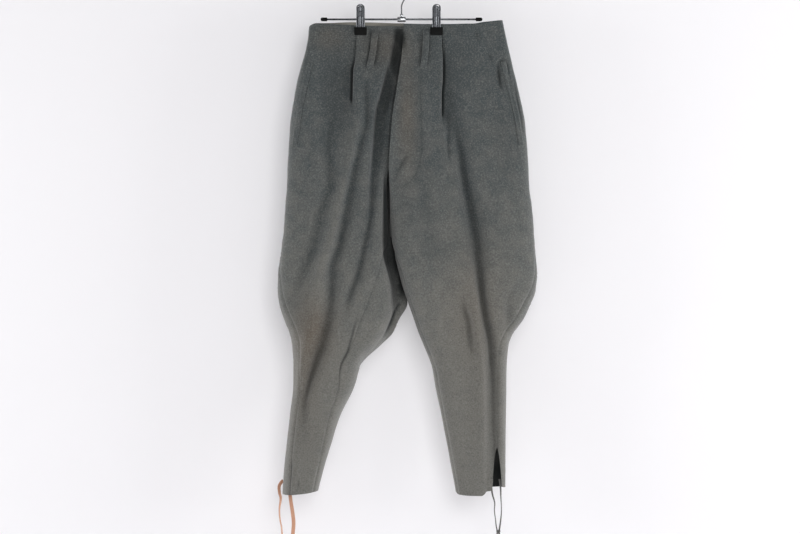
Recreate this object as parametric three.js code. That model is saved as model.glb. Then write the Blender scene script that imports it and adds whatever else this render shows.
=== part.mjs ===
// Field-grey wool riding trousers, hung by the waist from a two-clip hanger.
// Millimetres, +Z up, the front of the garment towards -Y, the wearer's left at +X.
// Origin: the inside top of the hook, where a rail carries it.
import * as THREE from "three";

// Driving dimensions of the garment
const waistZ = -102.7; // nominal height of the waist edge, under the hook
const garmentLength = 985; // waist edge to hem, the drop of the last row
const clothThickness = 2;
const seamGap = 0.3;
const forkDrop = 448; // where the four leg panels meet
const flyEndDrop = 331;
const slitTopDrop = 887;
const legRows = [
  0, 12, 26, 55, 90, 130, 172, 215, 262, 305, 331, 362, 395, 425, 448, 470, 500, 532, 562, 590, 615, 638,
  660, 684, 712, 745, 785, 830, 875, 900, 930, 960, 985,
]; // drops of the rows of a panel, closer together where the outline turns
const frontColumns = 19;
const backColumns = 14;
const bendWeight = 24; // mm of width that a column's share gains for each radian of turn
const loopSteps = 220;
const hemFlare = 110; // height over the hem that takes up the hem's own line
const edgeFade = 170; // drop over which the waist edge's line dies away

// Driving dimensions of the trimmings
const loopWidth = 14;
const loopThickness = 1.8;
const loopStandOff = 2.2; // how far a belt loop stands off the cloth at its middle
const underlapWidth = 28;
const underlapBottomDrop = 300;
const underlapTaper = 0.45;
const weltWidth = 11;
const weltThickness = 1.6;
const tapeWidth = 8;
const tapeThickness = 1.2;
const laceWidth = 3.6;
const laceThickness = 2.2;

// Driving dimensions of the hanger
const rodZ = -92;
const rodRadius = 2;
const rodHalfLength = 166;
const hookWireRadius = 1.6;
const hookLoopRadius = 22;
const hookCentreZ = -(hookLoopRadius - hookWireRadius);
const clipXs = { right: -86, left: 73.5 };
const plateThickness = 1.2;
const plateCrown = 1.4; // how far a clip's plate bulges at its middle
const padWidth = 26;
const padTopZ = -109.5;
const padHeight = 16;
const padThickness = 5;
const padCorner = 2.5;
const clothHalfThicknessAtClip = clothThickness + seamGap / 2;

// A table with named columns, one object a row.
function tableOf(columns, rows) {
  return rows.map((row) => Object.fromEntries(columns.map((column, i) => [column, row[i]])));
}

// Outline and depth of each side of the garment, by drop below the waist edge.
// outer, inner: x of the two edges seen from the front. lobe: x that the cloth behind reaches inwards.
// front, back: how far the cloth stands off the middle plane. fly, seat: the same at the centre seams.
// outRound, inRound: the width over which the cloth turns at each edge. soft: 1 pointed, 0.5 round.
// notch: how far the inner edge is pushed in at the middle plane.
const outlineColumns = [
  "drop", "outer", "inner", "lobe", "front", "back", "fly", "seat", "outRound", "inRound", "soft", "notch",
];
// Where the seams run round the loop: 0 inner edge, 1 outer edge, 2 inner edge again from behind.
const seamColumns = ["drop", "outseam", "inseam"];
// The hem's drop round the loop, and how far the waist edge and its rear part stand up.
const hemColumns = ["g", "drop"];
const liftColumns = ["x", "front", "back"];

const leftSide = {
  sign: 1,
  table: tableOf(outlineColumns, [
    [0, 213, 4, 4, 8, 8, 8, 8, 10, 40, 1, 0],
    [60, 227, 0.5, 0, 13, 13, 13, 13, 18, 40, 1, 0],
    [120, 242, -8, -2, 21, 21, 22, 20, 34, 40, 1, 0],
    [200, 259, -20, -5, 29, 29, 30, 27, 60, 45, 1, 0],
    [280, 267, -26, -12, 34, 35, 33, 29, 86, 52, 1, 0],
    [331, 269.5, -28.3, -17, 36, 38, 19, 25, 98, 56, 1, 0],
    [390, 275, -27, -19, 38, 41, 9, 15, 106, 60, 1, 0],
    [448, 280, -25, -17, 39, 42, 0, 0, 112, 40, 0.8, 0],
    [490, 283.5, -16, -6, 40, 42, 0, 0, 116, 38, 0.55, 0],
    [525, 285, -7, 2.5, 40, 42, 0, 0, 116, 36, 0.5, 0],
    [560, 281.5, 3.2, 12, 39, 41, 0, 0, 112, 36, 0.5, 0],
    [585, 272.5, 12.2, 18.5, 38, 40, 0, 0, 104, 36, 0.5, 0],
    [620, 255.5, 24.6, 28, 36, 38, 0, 0, 88, 38, 0.5, 0],
    [650, 234, 36.5, 36.5, 34, 36, 0, 0, 60, 40, 0.5, 0],
    [672, 225, 45.4, 45.4, 33, 35, 0, 0, 50, 40, 0.5, 0],
    [720, 221, 64, 64, 31, 33, 0, 0, 42, 38, 0.5, 0],
    [760, 220, 71.5, 71.5, 29, 31, 0, 0, 38, 36, 0.5, 0],
    [860, 219, 92, 92, 25, 27, 0, 0, 32, 32, 0.5, 0],
    [985, 218.5, 114, 114, 21, 23, 0, 0, 28, 28, 0.5, 0],
  ]),
  seams: tableOf(seamColumns, [
    [0, 1, 0],
    [448, 1, 0],
    [525, 0.985, 0.03],
    [585, 0.935, 0.035],
    [650, 0.9, 0.035],
    [760, 0.875, 0.035],
    [887, 0.86, 0.035],
    [985, 0.855, 0.035],
  ]),
  hem: tableOf(hemColumns, [[0, 983], [0.5, 989], [0.68, 986], [0.86, 974], [1, 970], [1.4, 979], [2, 983]]),
  waistLift: tableOf(liftColumns, [
    [4, 0.8, 3.2], [26, 0.8, 1.4], [60, 0.8, 0.8], [147, 0.8, 0.8], [172, 4.2, 4.2], [213, 8.6, 8.6],
  ]),
  slitOpen: { front: 12, back: 5 },
};
const rightSide = {
  sign: -1,
  table: tableOf(outlineColumns, [
    [0, -195, 10, 4, 8, 8, 4.2, 8, 10, 30, 1, 0],
    [60, -205, 6.5, 0, 13, 13, 7, 13, 18, 34, 1, 0],
    [120, -220, -2, -2, 21, 21, 10, 20, 34, 44, 1, 0],
    [200, -233.5, -14, -5, 29, 29, 13, 27, 60, 56, 1, 0],
    [280, -239.5, -22, -12, 34, 35, 16, 29, 84, 58, 1, 0],
    [331, -242, -28.3, -17, 36, 38, 14, 25, 94, 54, 1, 0],
    [390, -246.5, -27.2, -19.1, 38, 41, 9, 15, 102, 44, 1, 0],
    [448, -250, -25.4, -17.3, 39, 42, 0, 0, 108, 36, 0.8, 0],
    [490, -255, -28, -6.5, 40, 42, 0, 0, 110, 32, 0.55, 2],
    [525, -259, -21.5, 1.9, 41, 42, 0, 0, 108, 32, 0.5, 4],
    [560, -260, -16, 11.3, 41, 42, 0, 0, 104, 34, 0.5, 6],
    [585, -257, -16, 15, 41, 42, 0, 0, 98, 34, 0.5, 7],
    [620, -246, -22, -3.2, 40, 41, 0, 0, 86, 36, 0.5, 7],
    [650, -234.5, -35, -17.5, 39, 40, 0, 0, 62, 38, 0.5, 4],
    [672, -230, -50.5, -40, 38, 39, 0, 0, 54, 38, 0.5, 0],
    [720, -227.6, -87.5, -87.5, 37, 38, 0, 0, 46, 36, 0.5, 0],
    [760, -227.6, -98.7, -98.7, 36, 37, 0, 0, 40, 34, 0.5, 0],
    [820, -234.5, -128, -128, 34, 35, 0, 0, 36, 32, 0.5, 0],
    [860, -239.6, -142, -142, 33, 34, 0, 0, 32, 30, 0.5, 0],
    [985, -250.5, -174.5, -174.5, 30, 31, 0, 0, 28, 26, 0.5, 0],
  ]),
  seams: tableOf(seamColumns, [
    [0, 1, 0],
    [448, 1, 0],
    [490, 0.995, 0.05],
    [515, 0.985, 0.1],
    [574, 0.95, 0.205],
    [648, 0.91, 0.3],
    [711, 0.885, 0.29],
    [760, 0.87, 0.25],
    [887, 0.84, 0.16],
    [985, 0.77, 0.12],
  ]),
  hem: tableOf(hemColumns, [[0, 978], [0.5, 983], [0.9, 985], [1.1, 984], [1.5, 981], [2, 978]]),
  waistLift: tableOf(liftColumns, [
    [-195, -4.5, -4.5], [-178, 1.8, 3.3], [-140, 0, 4], [-100, -1.4, 5.1], [-16, -4.4, 3.6], [10, -4.6, 3.2],
  ]),
  slitOpen: { front: 1.5, back: 1.5 },
};

// Folds: each row of a line is a place on it. depth is how far the cloth sinks there, and is negative
// on a ridge. left and right are how wide the fold is on each side of its line. face: 1 front, -1 rear.
const foldColumns = ["drop", "x", "depth", "left", "right"];

function foldOn(side, face, rows) {
  return { side, face, line: tableOf(foldColumns, rows) };
}

const pleats = [
  foldOn(leftSide, 1, [
    [0, 86, 2, 4, 20], [40, 86, 5, 4, 22], [117, 85.5, 7, 4, 24], [170, 83, 8, 4, 26],
    [222, 88, 3, 6, 20], [262, 96, 0, 6, 14],
  ]),
  foldOn(rightSide, 1, [
    [0, -94, 2, 20, 4], [40, -95.5, 4.5, 20, 4], [98, -100.5, 6, 24, 4], [160, -102, 7, 24, 4],
    [215, -103, 0, 22, 6],
  ]),
];
const folds = [
  ...pleats,
  // wearer's left leg, front: the long fold under the pleat
  foldOn(leftSide, 1, [
    [120, 102, 0, 12, 16], [200, 111, 6, 13, 16], [264, 123, 10, 13, 15], [327, 131, 13, 13, 16],
    [390, 143, 14, 14, 18], [453, 154, 14, 15, 18], [516, 162, 14, 13, 15], [579, 169, 15, 12, 13],
    [673, 185, 13, 12, 13], [747, 189.5, 11, 12, 13], [830, 190.5, 10, 13, 12], [985, 192, 5, 13, 12],
  ]),
  // the ridge beside it, which ends as the pressed crease of the shin
  foldOn(leftSide, 1, [
    [470, 138, 0, 14, 10], [579, 148, -3, 14, 10], [673, 160, -4.5, 14, 9], [747, 167, -5, 18, 9],
    [870, 169, -5, 20, 9], [985, 170, -4, 20, 9],
  ]),
  // a short hollow over the knee, and a soft one beside the fly
  foldOn(leftSide, 1, [
    [555, 124, 0, 10, 10], [590, 130, 4, 10, 10], [635, 142, 6, 10, 10], [700, 150, 0, 10, 9],
  ]),
  foldOn(leftSide, 1, [
    [180, 28, 0, 16, 20], [260, 34, 3, 16, 20], [400, 52, 3, 16, 20], [520, 70, 0, 16, 20],
  ]),
  // wearer's right leg, front: the hollow where the cloth falls away beside the fly
  foldOn(rightSide, 1, [
    [0, -6, 0, 9, 26], [40, -12, 4, 9, 28], [106, -27, 9, 9, 34], [169, -44, 12, 9, 34],
    [232, -52, 13, 9, 30], [284, -55, 13, 10, 22], [327, -59, 12, 10, 15], [390, -62, 11, 12, 13],
    [453, -73, 9, 12, 12], [516, -87, 9, 12, 13], [579, -109, 6, 11, 12], [626, -118, 0, 11, 12],
  ]),
  // the fold under the pleat, down to the knee and the calf
  foldOn(rightSide, 1, [
    [150, -73, 0, 11, 11], [200, -74, 6, 11, 11], [264, -88, 8, 11, 12], [327, -104, 9, 11, 15],
    [390, -115, 9, 11, 17], [453, -127, 9, 12, 14], [516, -144, 9, 12, 16], [579, -146, 9, 13, 14],
    [660, -162, 11, 15, 14], [704, -178, 12, 12, 14], [747, -191, 11, 11, 13], [830, -203, 0, 11, 12],
  ]),
  // the ridge beside it
  foldOn(rightSide, 1, [
    [240, -98, 0, 11, 10], [327, -116, -3, 11, 10], [453, -145, -4, 12, 10], [579, -176, -4, 14, 11],
    [680, -199, -6, 14, 10], [820, -223, 0, 12, 10],
  ]),
  // the soft hollow towards the outseam
  foldOn(rightSide, 1, [
    [60, -136, 0, 24, 26], [130, -139, 6, 24, 26], [215, -146, 7, 18, 20], [300, -148, 7, 16, 18],
    [390, -164, 7, 14, 18], [474, -184, 7, 14, 16], [530, -204, 5, 14, 14], [600, -230, 0, 12, 14],
  ]),
  // behind: soft falls under the clips
  foldOn(leftSide, -1, [
    [30, 74, 0, 20, 16], [130, 80, 8, 20, 16], [300, 100, 10, 22, 16], [470, 132, 10, 18, 16],
    [600, 150, 7, 16, 14], [700, 160, 0, 16, 14],
  ]),
  foldOn(rightSide, -1, [
    [30, -86, 0, 16, 20], [130, -92, 8, 16, 20], [300, -112, 10, 15, 20], [450, -136, 10, 14, 18],
    [580, -160, 8, 14, 16], [680, -172, 0, 14, 16],
  ]),
  // seat folds that run down to the fork
  foldOn(leftSide, -1, [
    [240, 20, 0, 16, 18], [340, 34, 7, 14, 16], [450, 60, 9, 13, 16], [560, 92, 6, 13, 15],
    [640, 112, 0, 13, 15],
  ]),
  foldOn(rightSide, -1, [
    [250, -44, 0, 18, 14], [350, -58, 7, 16, 14], [460, -82, 9, 15, 14], [560, -104, 7, 14, 14],
    [640, -122, 0, 14, 13],
  ]),
  // hollows behind the knees
  foldOn(leftSide, -1, [
    [600, 196, 0, 14, 16], [680, 150, 8, 13, 14], [740, 120, 6, 13, 14], [800, 108, 0, 13, 14],
  ]),
  foldOn(rightSide, -1, [
    [610, -214, 0, 16, 14], [680, -176, 8, 14, 13], [740, -150, 7, 14, 13], [800, -140, 0, 14, 13],
  ]),
];

// Small tools

function smooth(from, to, value) {
  const t = THREE.MathUtils.clamp((value - from) / (to - from), 0, 1);
  return t * t * (3 - 2 * t);
}

// A smooth curve through one column of a table, read at a value of its key column.
function read(table, column, value, key = "drop") {
  const last = table.length - 1;
  if (value <= table[0][key]) return table[0][column];
  if (value >= table[last][key]) return table[last][column];
  let i = 0;
  while (table[i + 1][key] < value) i += 1;
  const slope = (k) => {
    if (k <= 0 || k >= last) return 0;
    const before = (table[k][column] - table[k - 1][column]) / (table[k][key] - table[k - 1][key]);
    const after = (table[k + 1][column] - table[k][column]) / (table[k + 1][key] - table[k][key]);
    return before * after <= 0 ? 0 : (2 * before * after) / (before + after);
  };
  const h = table[i + 1][key] - table[i][key];
  const t = (value - table[i][key]) / h;
  const a = table[i][column];
  const b = table[i + 1][column];
  const endSlope = (k) => (k === 0 || k === last ? (b - a) / h : slope(k));
  const t2 = t * t;
  const t3 = t2 * t;
  return (2 * t3 - 3 * t2 + 1) * a + (t3 - 2 * t2 + t) * h * endSlope(i)
    + (3 * t2 - 2 * t3) * b + (t3 - t2) * h * endSlope(i + 1);
}

// How much of its full depth the cloth has, a share q of the way in from an edge.
function arch(q, power) {
  const rest = 1 - Math.min(Math.max(q, 0), 1);
  return (1 - rest * rest) ** power;
}

// The garment's form

const rowCache = new Map();

function rowOf(side, drop) {
  const name = `${side.sign}:${drop}`;
  if (!rowCache.has(name)) {
    const row = {};
    for (const column of Object.keys(side.table[0])) row[column] = read(side.table, column, drop);
    row.inner += (side.sign * seamGap) / 2;
    row.lobe += (side.sign * seamGap) / 2;
    rowCache.set(name, row);
  }
  return rowCache.get(name);
}

// How much the clips let the two layers part at this place: 0 in a clip, 1 away from it.
function clipRelease(side, x, drop) {
  const clipX = side === leftSide ? clipXs.left : clipXs.right;
  const away = smooth(22, 70, Math.abs(x - clipX));
  return away + (1 - away) * smooth(24, 150, drop);
}

// A point of the loop that a side makes at one drop, before its folds. g runs 0 to 1 over the
// front from the inner edge to the outer one, and 1 to 2 back over the rear.
function loopPoint(side, g, drop) {
  const row = rowOf(side, drop);
  const turn = ((g % 2) + 2) % 2;
  const closed = drop >= forkDrop;
  const onFront = closed ? turn <= 1 : g <= 1;
  const share = onFront ? (closed ? turn : g) : 2 - (closed ? turn : g);
  const half = onFront ? row.front : row.back;
  const edge = onFront ? row.fly : row.seat;
  const width = Math.abs(row.outer - row.inner);
  const inTurn = arch((share * width) / row.inRound, row.soft);
  const outTurn = arch(((1 - share) * width) / row.outRound, 0.5);
  let depth = (edge + (half - edge) * inTurn) * outTurn;
  const behind = onFront ? 0.5 * smooth(14, 0, depth) : 0.5 + 0.5 * smooth(0, 14, depth);
  const reach = closed ? behind : Number(!onFront);
  const innerX = THREE.MathUtils.lerp(row.inner, row.lobe, reach);
  let x = THREE.MathUtils.lerp(innerX, row.outer, share);
  x += side.sign * row.notch * Math.exp(-((depth / 9) ** 2)) * (share < 0.5 ? 1 : 0);
  const pressed = clothHalfThicknessAtClip;
  if (depth > pressed) depth = pressed + (depth - pressed) * clipRelease(side, x, drop);
  return { x, y: onFront ? -depth : depth, onFront, share, width };
}

// How far the folds sink the cloth at a place.
function foldDepth(side, place, drop) {
  const face = place.onFront ? 1 : -1;
  let sunk = 0;
  for (const fold of folds) {
    if (fold.side !== side || fold.face !== face) continue;
    if (drop < fold.line[0].drop || drop > fold.line.at(-1).drop) continue;
    const depth = read(fold.line, "depth", drop);
    const away = place.x - read(fold.line, "x", drop);
    const width = read(fold.line, away < 0 ? "left" : "right", drop);
    sunk += depth * Math.exp(-((away / width) ** 2));
  }
  const fromInner = place.share * place.width;
  const fromOuter = (1 - place.share) * place.width;
  const flyLet = face === 1 && side === rightSide ? 1 - smooth(290, flyEndDrop, drop) : 0;
  const inFade = Math.max(smooth(0, 26, fromInner), flyLet * 0.35);
  return sunk * inFade * smooth(0, 30, fromOuter) * smooth(0, 22, drop + 6);
}

// The outward direction of the loop, level, from the points beside this one.
function loopNormal(side, g, drop) {
  const step = 0.004;
  const closed = drop >= forkDrop;
  const from = closed ? g - step : Math.max(0, g - step);
  const to = closed ? g + step : Math.min(2, g + step);
  const a = loopPoint(side, from, drop);
  const b = loopPoint(side, to, drop);
  const normal = new THREE.Vector3(b.y - a.y, a.x - b.x, 0).multiplyScalar(side.sign);
  return normal.lengthSq() > 0 ? normal.normalize() : new THREE.Vector3(0, -1, 0);
}

function heightOf(side, g, x, drop) {
  const hemShift = read(side.hem, "drop", ((g % 2) + 2) % 2, "g") - garmentLength;
  const lift = read(side.waistLift, g <= 1 ? "front" : "back", x, "x") * (1 - smooth(0, edgeFade, drop));
  return waistZ - drop - hemShift * smooth(garmentLength - hemFlare, garmentLength, drop) + lift;
}

// A place on the cloth: its outer point and its outward direction.
function clothPlace(side, g, drop) {
  const place = loopPoint(side, g, drop);
  const normal = loopNormal(side, g, drop);
  const sunk = foldDepth(side, place, drop);
  const point = new THREE.Vector3(place.x, place.y, 0).addScaledVector(normal, -sunk);
  if (drop < forkDrop) {
    const least = clothHalfThicknessAtClip;
    const nearSeam = place.share * place.width < 26 || (1 - place.share) * place.width < 12;
    if (!nearSeam) point.y = place.onFront ? Math.min(point.y, -least) : Math.max(point.y, least);
  }
  point.z = heightOf(side, g, place.x, drop);
  return { point, normal, onFront: place.onFront };
}

// Values of g that share a stretch of the loop among n columns, closer together at its bends.
function columnsOf(side, drop, from, to, n) {
  const pleat = pleats.find((p) => p.side === side);
  const pleatX = read(pleat.line, "x", Math.min(drop, 200));
  const share = [0];
  let before = loopPoint(side, from, drop);
  let heading = null;
  for (let i = 1; i <= loopSteps; i += 1) {
    const here = loopPoint(side, from + ((to - from) * i) / loopSteps, drop);
    const length = Math.hypot(here.x - before.x, here.y - before.y);
    const angle = Math.atan2(here.y - before.y, here.x - before.x);
    let bend = heading === null ? 0 : Math.abs(angle - heading);
    if (bend > Math.PI) bend = 2 * Math.PI - bend;
    const near = here.onFront ? Math.exp(-(((here.x - pleatX) / 9) ** 2)) : 0;
    const nearPleat = 3 * near * (1 - smooth(190, 330, drop));
    share.push(share[i - 1] + length * (1 + nearPleat) + bendWeight * Math.min(bend, 0.6));
    before = here;
    heading = angle;
  }
  const columns = [];
  let i = 0;
  for (let c = 0; c <= n; c += 1) {
    const target = (share[loopSteps] * c) / n;
    while (i < loopSteps - 1 && share[i + 1] < target) i += 1;
    const t = (target - share[i]) / Math.max(share[i + 1] - share[i], 1e-9);
    columns.push(from + ((to - from) * (i + Math.min(Math.max(t, 0), 1))) / loopSteps);
  }
  return columns;
}

// Solids

// A closed wall between two grids of points that have the same rows and columns.
function wallBetween(outer, inner) {
  const rows = outer.length;
  const columns = outer[0].length;
  const points = [...outer.flat(), ...inner.flat()];
  const at = (layer, r, c) => layer * rows * columns + r * columns + c;
  const faces = [];
  const quad = (a, b, c, d) => faces.push(a, b, c, a, c, d);
  for (let r = 0; r < rows - 1; r += 1) {
    for (let c = 0; c < columns - 1; c += 1) {
      quad(at(0, r, c), at(0, r + 1, c), at(0, r + 1, c + 1), at(0, r, c + 1));
      quad(at(1, r, c), at(1, r, c + 1), at(1, r + 1, c + 1), at(1, r + 1, c));
    }
    quad(at(0, r, 0), at(1, r, 0), at(1, r + 1, 0), at(0, r + 1, 0));
    const end = columns - 1;
    quad(at(0, r, end), at(0, r + 1, end), at(1, r + 1, end), at(1, r, end));
  }
  for (let c = 0; c < columns - 1; c += 1) {
    quad(at(0, 0, c), at(0, 0, c + 1), at(1, 0, c + 1), at(1, 0, c));
    const foot = rows - 1;
    quad(at(0, foot, c), at(1, foot, c), at(1, foot, c + 1), at(0, foot, c + 1));
  }
  return solidFrom(points, faces);
}

// A geometry from points and faces, turned so that its faces point out.
function solidFrom(points, faces) {
  let volume = 0;
  for (let i = 0; i < faces.length; i += 3) {
    const [a, b, c] = [points[faces[i]], points[faces[i + 1]], points[faces[i + 2]]];
    volume += a.dot(new THREE.Vector3().crossVectors(b, c));
  }
  const index = volume < 0 ? faces.map((_, i) => faces[i - (i % 3) + [0, 2, 1][i % 3]]) : faces;
  const geometry = new THREE.BufferGeometry().setFromPoints(points);
  geometry.setIndex(index);
  geometry.computeVertexNormals();
  return geometry;
}

function rowLimits(side, part, drop) {
  const outseam = read(side.seams, "outseam", drop);
  const inseam = drop <= forkDrop ? 0 : read(side.seams, "inseam", drop);
  const { outer, inner } = rowOf(side, drop);
  const width = Math.abs(outer - inner);
  const open = drop > slitTopDrop ? ((drop - slitTopDrop) / (garmentLength - slitTopDrop)) ** 1.2 : 0;
  if (part === "front") return [inseam, outseam - (side.slitOpen.front * open) / width];
  return [outseam + (side.slitOpen.back * open) / width, 2 + inseam];
}

// One cloth panel of a leg, from the waist edge to the hem.
function legPanel(side, part) {
  const n = part === "front" ? frontColumns : backColumns;
  const outer = [];
  const inner = [];
  for (const drop of legRows) {
    const [from, to] = rowLimits(side, part, drop);
    const places = columnsOf(side, drop, from, to, n).map((g) => clothPlace(side, g, drop));
    const shift = (here, next) => {
      const along = next.point.clone().sub(here.point).setZ(0);
      const level = new THREE.Vector3(-here.normal.y, here.normal.x, 0);
      if (level.dot(along) < 0) level.negate();
      here.point.addScaledVector(level, seamGap / 2);
    };
    shift(places[0], places[1]);
    shift(places[n], places[n - 1]);
    outer.push(places.map((p) => p.point));
    inner.push(places.map((p) => {
      const point = p.point.clone().addScaledVector(p.normal, -clothThickness);
      if (drop < forkDrop) {
        const bound = seamGap / 2;
        point.y = part === "front" ? Math.min(point.y, -bound) : Math.max(point.y, bound);
      }
      return point;
    }));
  }
  return wallBetween(outer, inner);
}

// The button catch: sewn to the edge of the wearer's right front, it runs on behind the left one.
function flyUnderlap() {
  const drops = [6, 26, 55, 90, 130, 172, 215, 262, underlapBottomDrop];
  const columns = 4;
  const outer = drops.map((drop) => {
    const start = clothPlace(rightSide, 0, drop).point;
    const width = underlapWidth * (1 - underlapTaper * smooth(190, underlapBottomDrop, drop));
    const row = rowOf(leftSide, drop);
    return Array.from({ length: columns + 1 }, (_, c) => {
      const x = start.x + seamGap * 1.5 + (width * c) / columns;
      const over = clothPlace(leftSide, Math.max(0, (x - row.inner) / (row.outer - row.inner)), drop);
      const under = over.point.y + clothThickness + 2 * seamGap;
      return new THREE.Vector3(x, Math.max(start.y, under), waistZ - drop);
    });
  });
  const inner = outer.map((row) => row.map((p) => p.clone().setY(p.y + clothThickness)));
  return wallBetween(outer, inner);
}

// A strip of cloth that lies on a panel. line gives its middle by drop; lift its height over it.
function stripOn(side, face, line, width, thickness, lift, steps) {
  const across = 3;
  const first = line[0].drop;
  const last = line.at(-1).drop;
  const outer = [];
  const inner = [];
  for (let r = 0; r <= steps; r += 1) {
    const drop = first + ((last - first) * r) / steps;
    const row = rowOf(side, drop);
    const outerRow = [];
    const innerRow = [];
    for (let c = 0; c <= across; c += 1) {
      const x = read(line, "x", drop) + width * (c / across - 0.5);
      const share = (x - row.inner) / (row.outer - row.inner);
      const place = clothPlace(side, face === 1 ? share : 2 - share, drop);
      const base = 1.5 * seamGap + lift(r / steps, c / across);
      innerRow.push(place.point.clone().addScaledVector(place.normal, base));
      outerRow.push(place.point.clone().addScaledVector(place.normal, base + thickness));
    }
    outer.push(outerRow);
    inner.push(innerRow);
  }
  return wallBetween(outer, inner);
}

const bridge = (along) => loopStandOff * smooth(0, 0.18, along) * smooth(1, 0.82, along);
const lineColumns = ["drop", "x"];
const beltLoopLines = {
  front_left: { side: leftSide, face: 1, line: tableOf(lineColumns, [[12, 52], [55, 50], [90, 46]]) },
  front_right: { side: rightSide, face: 1, line: tableOf(lineColumns, [[14, -55], [55, -60], [90, -67]]) },
  back_left: { side: leftSide, face: -1, line: tableOf(lineColumns, [[12, 108], [90, 108]]) },
  back_right: { side: rightSide, face: -1, line: tableOf(lineColumns, [[12, -118], [90, -118]]) },
};
const pocketLines = {
  left: {
    side: leftSide,
    line: tableOf(lineColumns, [[84, 213], [130, 224], [180, 237], [256, 250]]),
  },
  right: {
    side: rightSide,
    line: tableOf(lineColumns, [[84, -192], [130, -202], [180, -212], [256, -224]]),
  },
};

// A tube along a curve: its section is a flattened octagon, wide across the curve's run.
function flatCord(points, width, thickness, steps) {
  const sides = 8;
  const section = new THREE.Shape();
  for (let i = 0; i < sides; i += 1) {
    const angle = (2 * Math.PI * (i + 0.5)) / sides;
    const [u, v] = [(thickness / 2) * Math.cos(angle), (width / 2) * Math.sin(angle)];
    if (i === 0) section.moveTo(u, v);
    else section.lineTo(u, v);
  }
  section.closePath();
  const extrudePath = new THREE.CatmullRomCurve3(points.map((p) => new THREE.Vector3(...p)));
  return new THREE.ExtrudeGeometry(section, { steps, extrudePath, bevelEnabled: false, curveSegments: 1 });
}

// The ankle ties. Each route runs from where it is sewn at the slit to its free end, as x, y, z.
const tieRoutes = {
  right_outer: [
    [-249, 12, -1062], [-253.5, 10, -1066], [-257.6, 8, -1074], [-256.5, 6, -1088], [-254, 5, -1099],
    [-256.6, 4, -1122], [-255.2, 4, -1143], [-251.6, 5, -1164], [-250.8, 6, -1200], [-253, 6, -1240],
    [-252, 5, -1280],
  ],
  right_inner: [
    [-236.6, 18.2, -1070], [-236, 16.9, -1084], [-233.2, 12.6, -1106], [-229.6, 10, -1128],
    [-227.2, 9, -1150], [-228.6, 8, -1172], [-231, 8, -1205], [-229, 9, -1245], [-230, 9, -1290],
  ],
  left_front: [
    [187, -13, -1058], [188.4, -12.8, -1074], [190.4, -10.6, -1088], [195, -10, -1106],
    [194.6, -9.6, -1122], [196.6, -9, -1140], [198.6, -8, -1156], [200.6, -8, -1166],
    [199.6, -8, -1184], [197.4, -8, -1215], [198.6, -8, -1262],
  ],
  left_back: [
    [205.1, -10.2, -1056], [207.4, -8.9, -1074], [208.2, -7.6, -1096], [209.2, -7.8, -1114],
    [208.9, -8, -1130], [207, -8, -1148], [205.6, -8, -1158], [204.6, -8, -1167],
    [205.6, -8, -1186], [207.6, -8, -1220], [206.4, -8, -1275],
  ],
};
const knotCentre = [202.8, -8, -1166];

// A lathe turned so that its axis lies along X, Y or Z.
function lathe(profile, axis, segments = 20) {
  const geometry = new THREE.LatheGeometry(profile.map(([r, h]) => new THREE.Vector2(r, h)), segments);
  if (axis === "x") geometry.rotateZ(-Math.PI / 2);
  if (axis === "z") geometry.rotateX(Math.PI / 2);
  return geometry;
}

function ringProfile(inner, outer, half) {
  return [[inner, -half], [outer, -half], [outer, half], [inner, half], [inner, -half]];
}

// Hanger

function hookGeometry() {
  const neck = new THREE.Vector3(0, 0, rodZ + 7.3);
  const centre = new THREE.Vector3(0, 0, hookCentreZ);
  const onLoop = (degrees) => {
    const angle = THREE.MathUtils.degToRad(degrees);
    const spoke = new THREE.Vector3(Math.cos(angle), 0, Math.sin(angle));
    return centre.clone().addScaledVector(spoke, hookLoopRadius);
  };
  const points = [
    neck,
    new THREE.Vector3(0, 0, rodZ + 18),
    new THREE.Vector3(0.6, 0, rodZ + 30),
    new THREE.Vector3(6, 0, rodZ + 42),
  ];
  for (let degrees = -42; degrees <= 206; degrees += 15.5) points.push(onLoop(degrees));
  const extrudePath = new THREE.CatmullRomCurve3(points);
  const section = new THREE.Shape().absarc(0, 0, hookWireRadius, 0, 2 * Math.PI);
  const extrusion = { steps: 56, extrudePath, bevelEnabled: false, curveSegments: 5 };
  return new THREE.ExtrudeGeometry(section, extrusion);
}

// A clip's sprung jaw: a pressed plate with a round head, in front of the rod (face 1) or behind it.
function jawGeometry(centreX, face) {
  const lines = tableOf(["up", "off", "half"], [
    [31.5, 12.5, 1.2], [30.6, 12.4, 4.6], [28, 12, 7.4], [24, 11.2, 8.8], [18, 9.8, 8.8],
    [10, 7.4, 8.4], [3, 5.7, 8.6], [-4, 5.4, 8.8], [-12, 5.6, 8.8], [-17.2, 5.2, 8.8],
  ]);
  const across = 4;
  const grid = (extra) => lines.map(({ up, off, half }) =>
    Array.from({ length: across + 1 }, (_, c) => {
      const u = (2 * c) / across - 1;
      const crown = plateCrown * (1 - u * u);
      return new THREE.Vector3(centreX + half * u, -face * (off + crown + extra), rodZ + up);
    }));
  return wallBetween(grid(plateThickness), grid(0));
}

function padGeometry(face) {
  const outline = new THREE.Shape();
  const corner = padCorner;
  const [w, h] = [padWidth / 2, padHeight / 2];
  outline.moveTo(-w + corner, -h);
  outline.lineTo(w - corner, -h);
  outline.absarc(w - corner, -h + corner, corner, -Math.PI / 2, 0);
  outline.lineTo(w, h);
  outline.lineTo(-w, h);
  outline.lineTo(-w, -h + corner);
  outline.absarc(-w + corner, -h + corner, corner, Math.PI, 1.5 * Math.PI);
  const extrusion = { depth: padThickness, bevelEnabled: false, curveSegments: 4 };
  const geometry = new THREE.ExtrudeGeometry(outline, extrusion);
  geometry.rotateX(Math.PI / 2);
  geometry.translate(0, face === 1 ? 0 : padThickness, 0);
  return geometry;
}

// Materials

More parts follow.
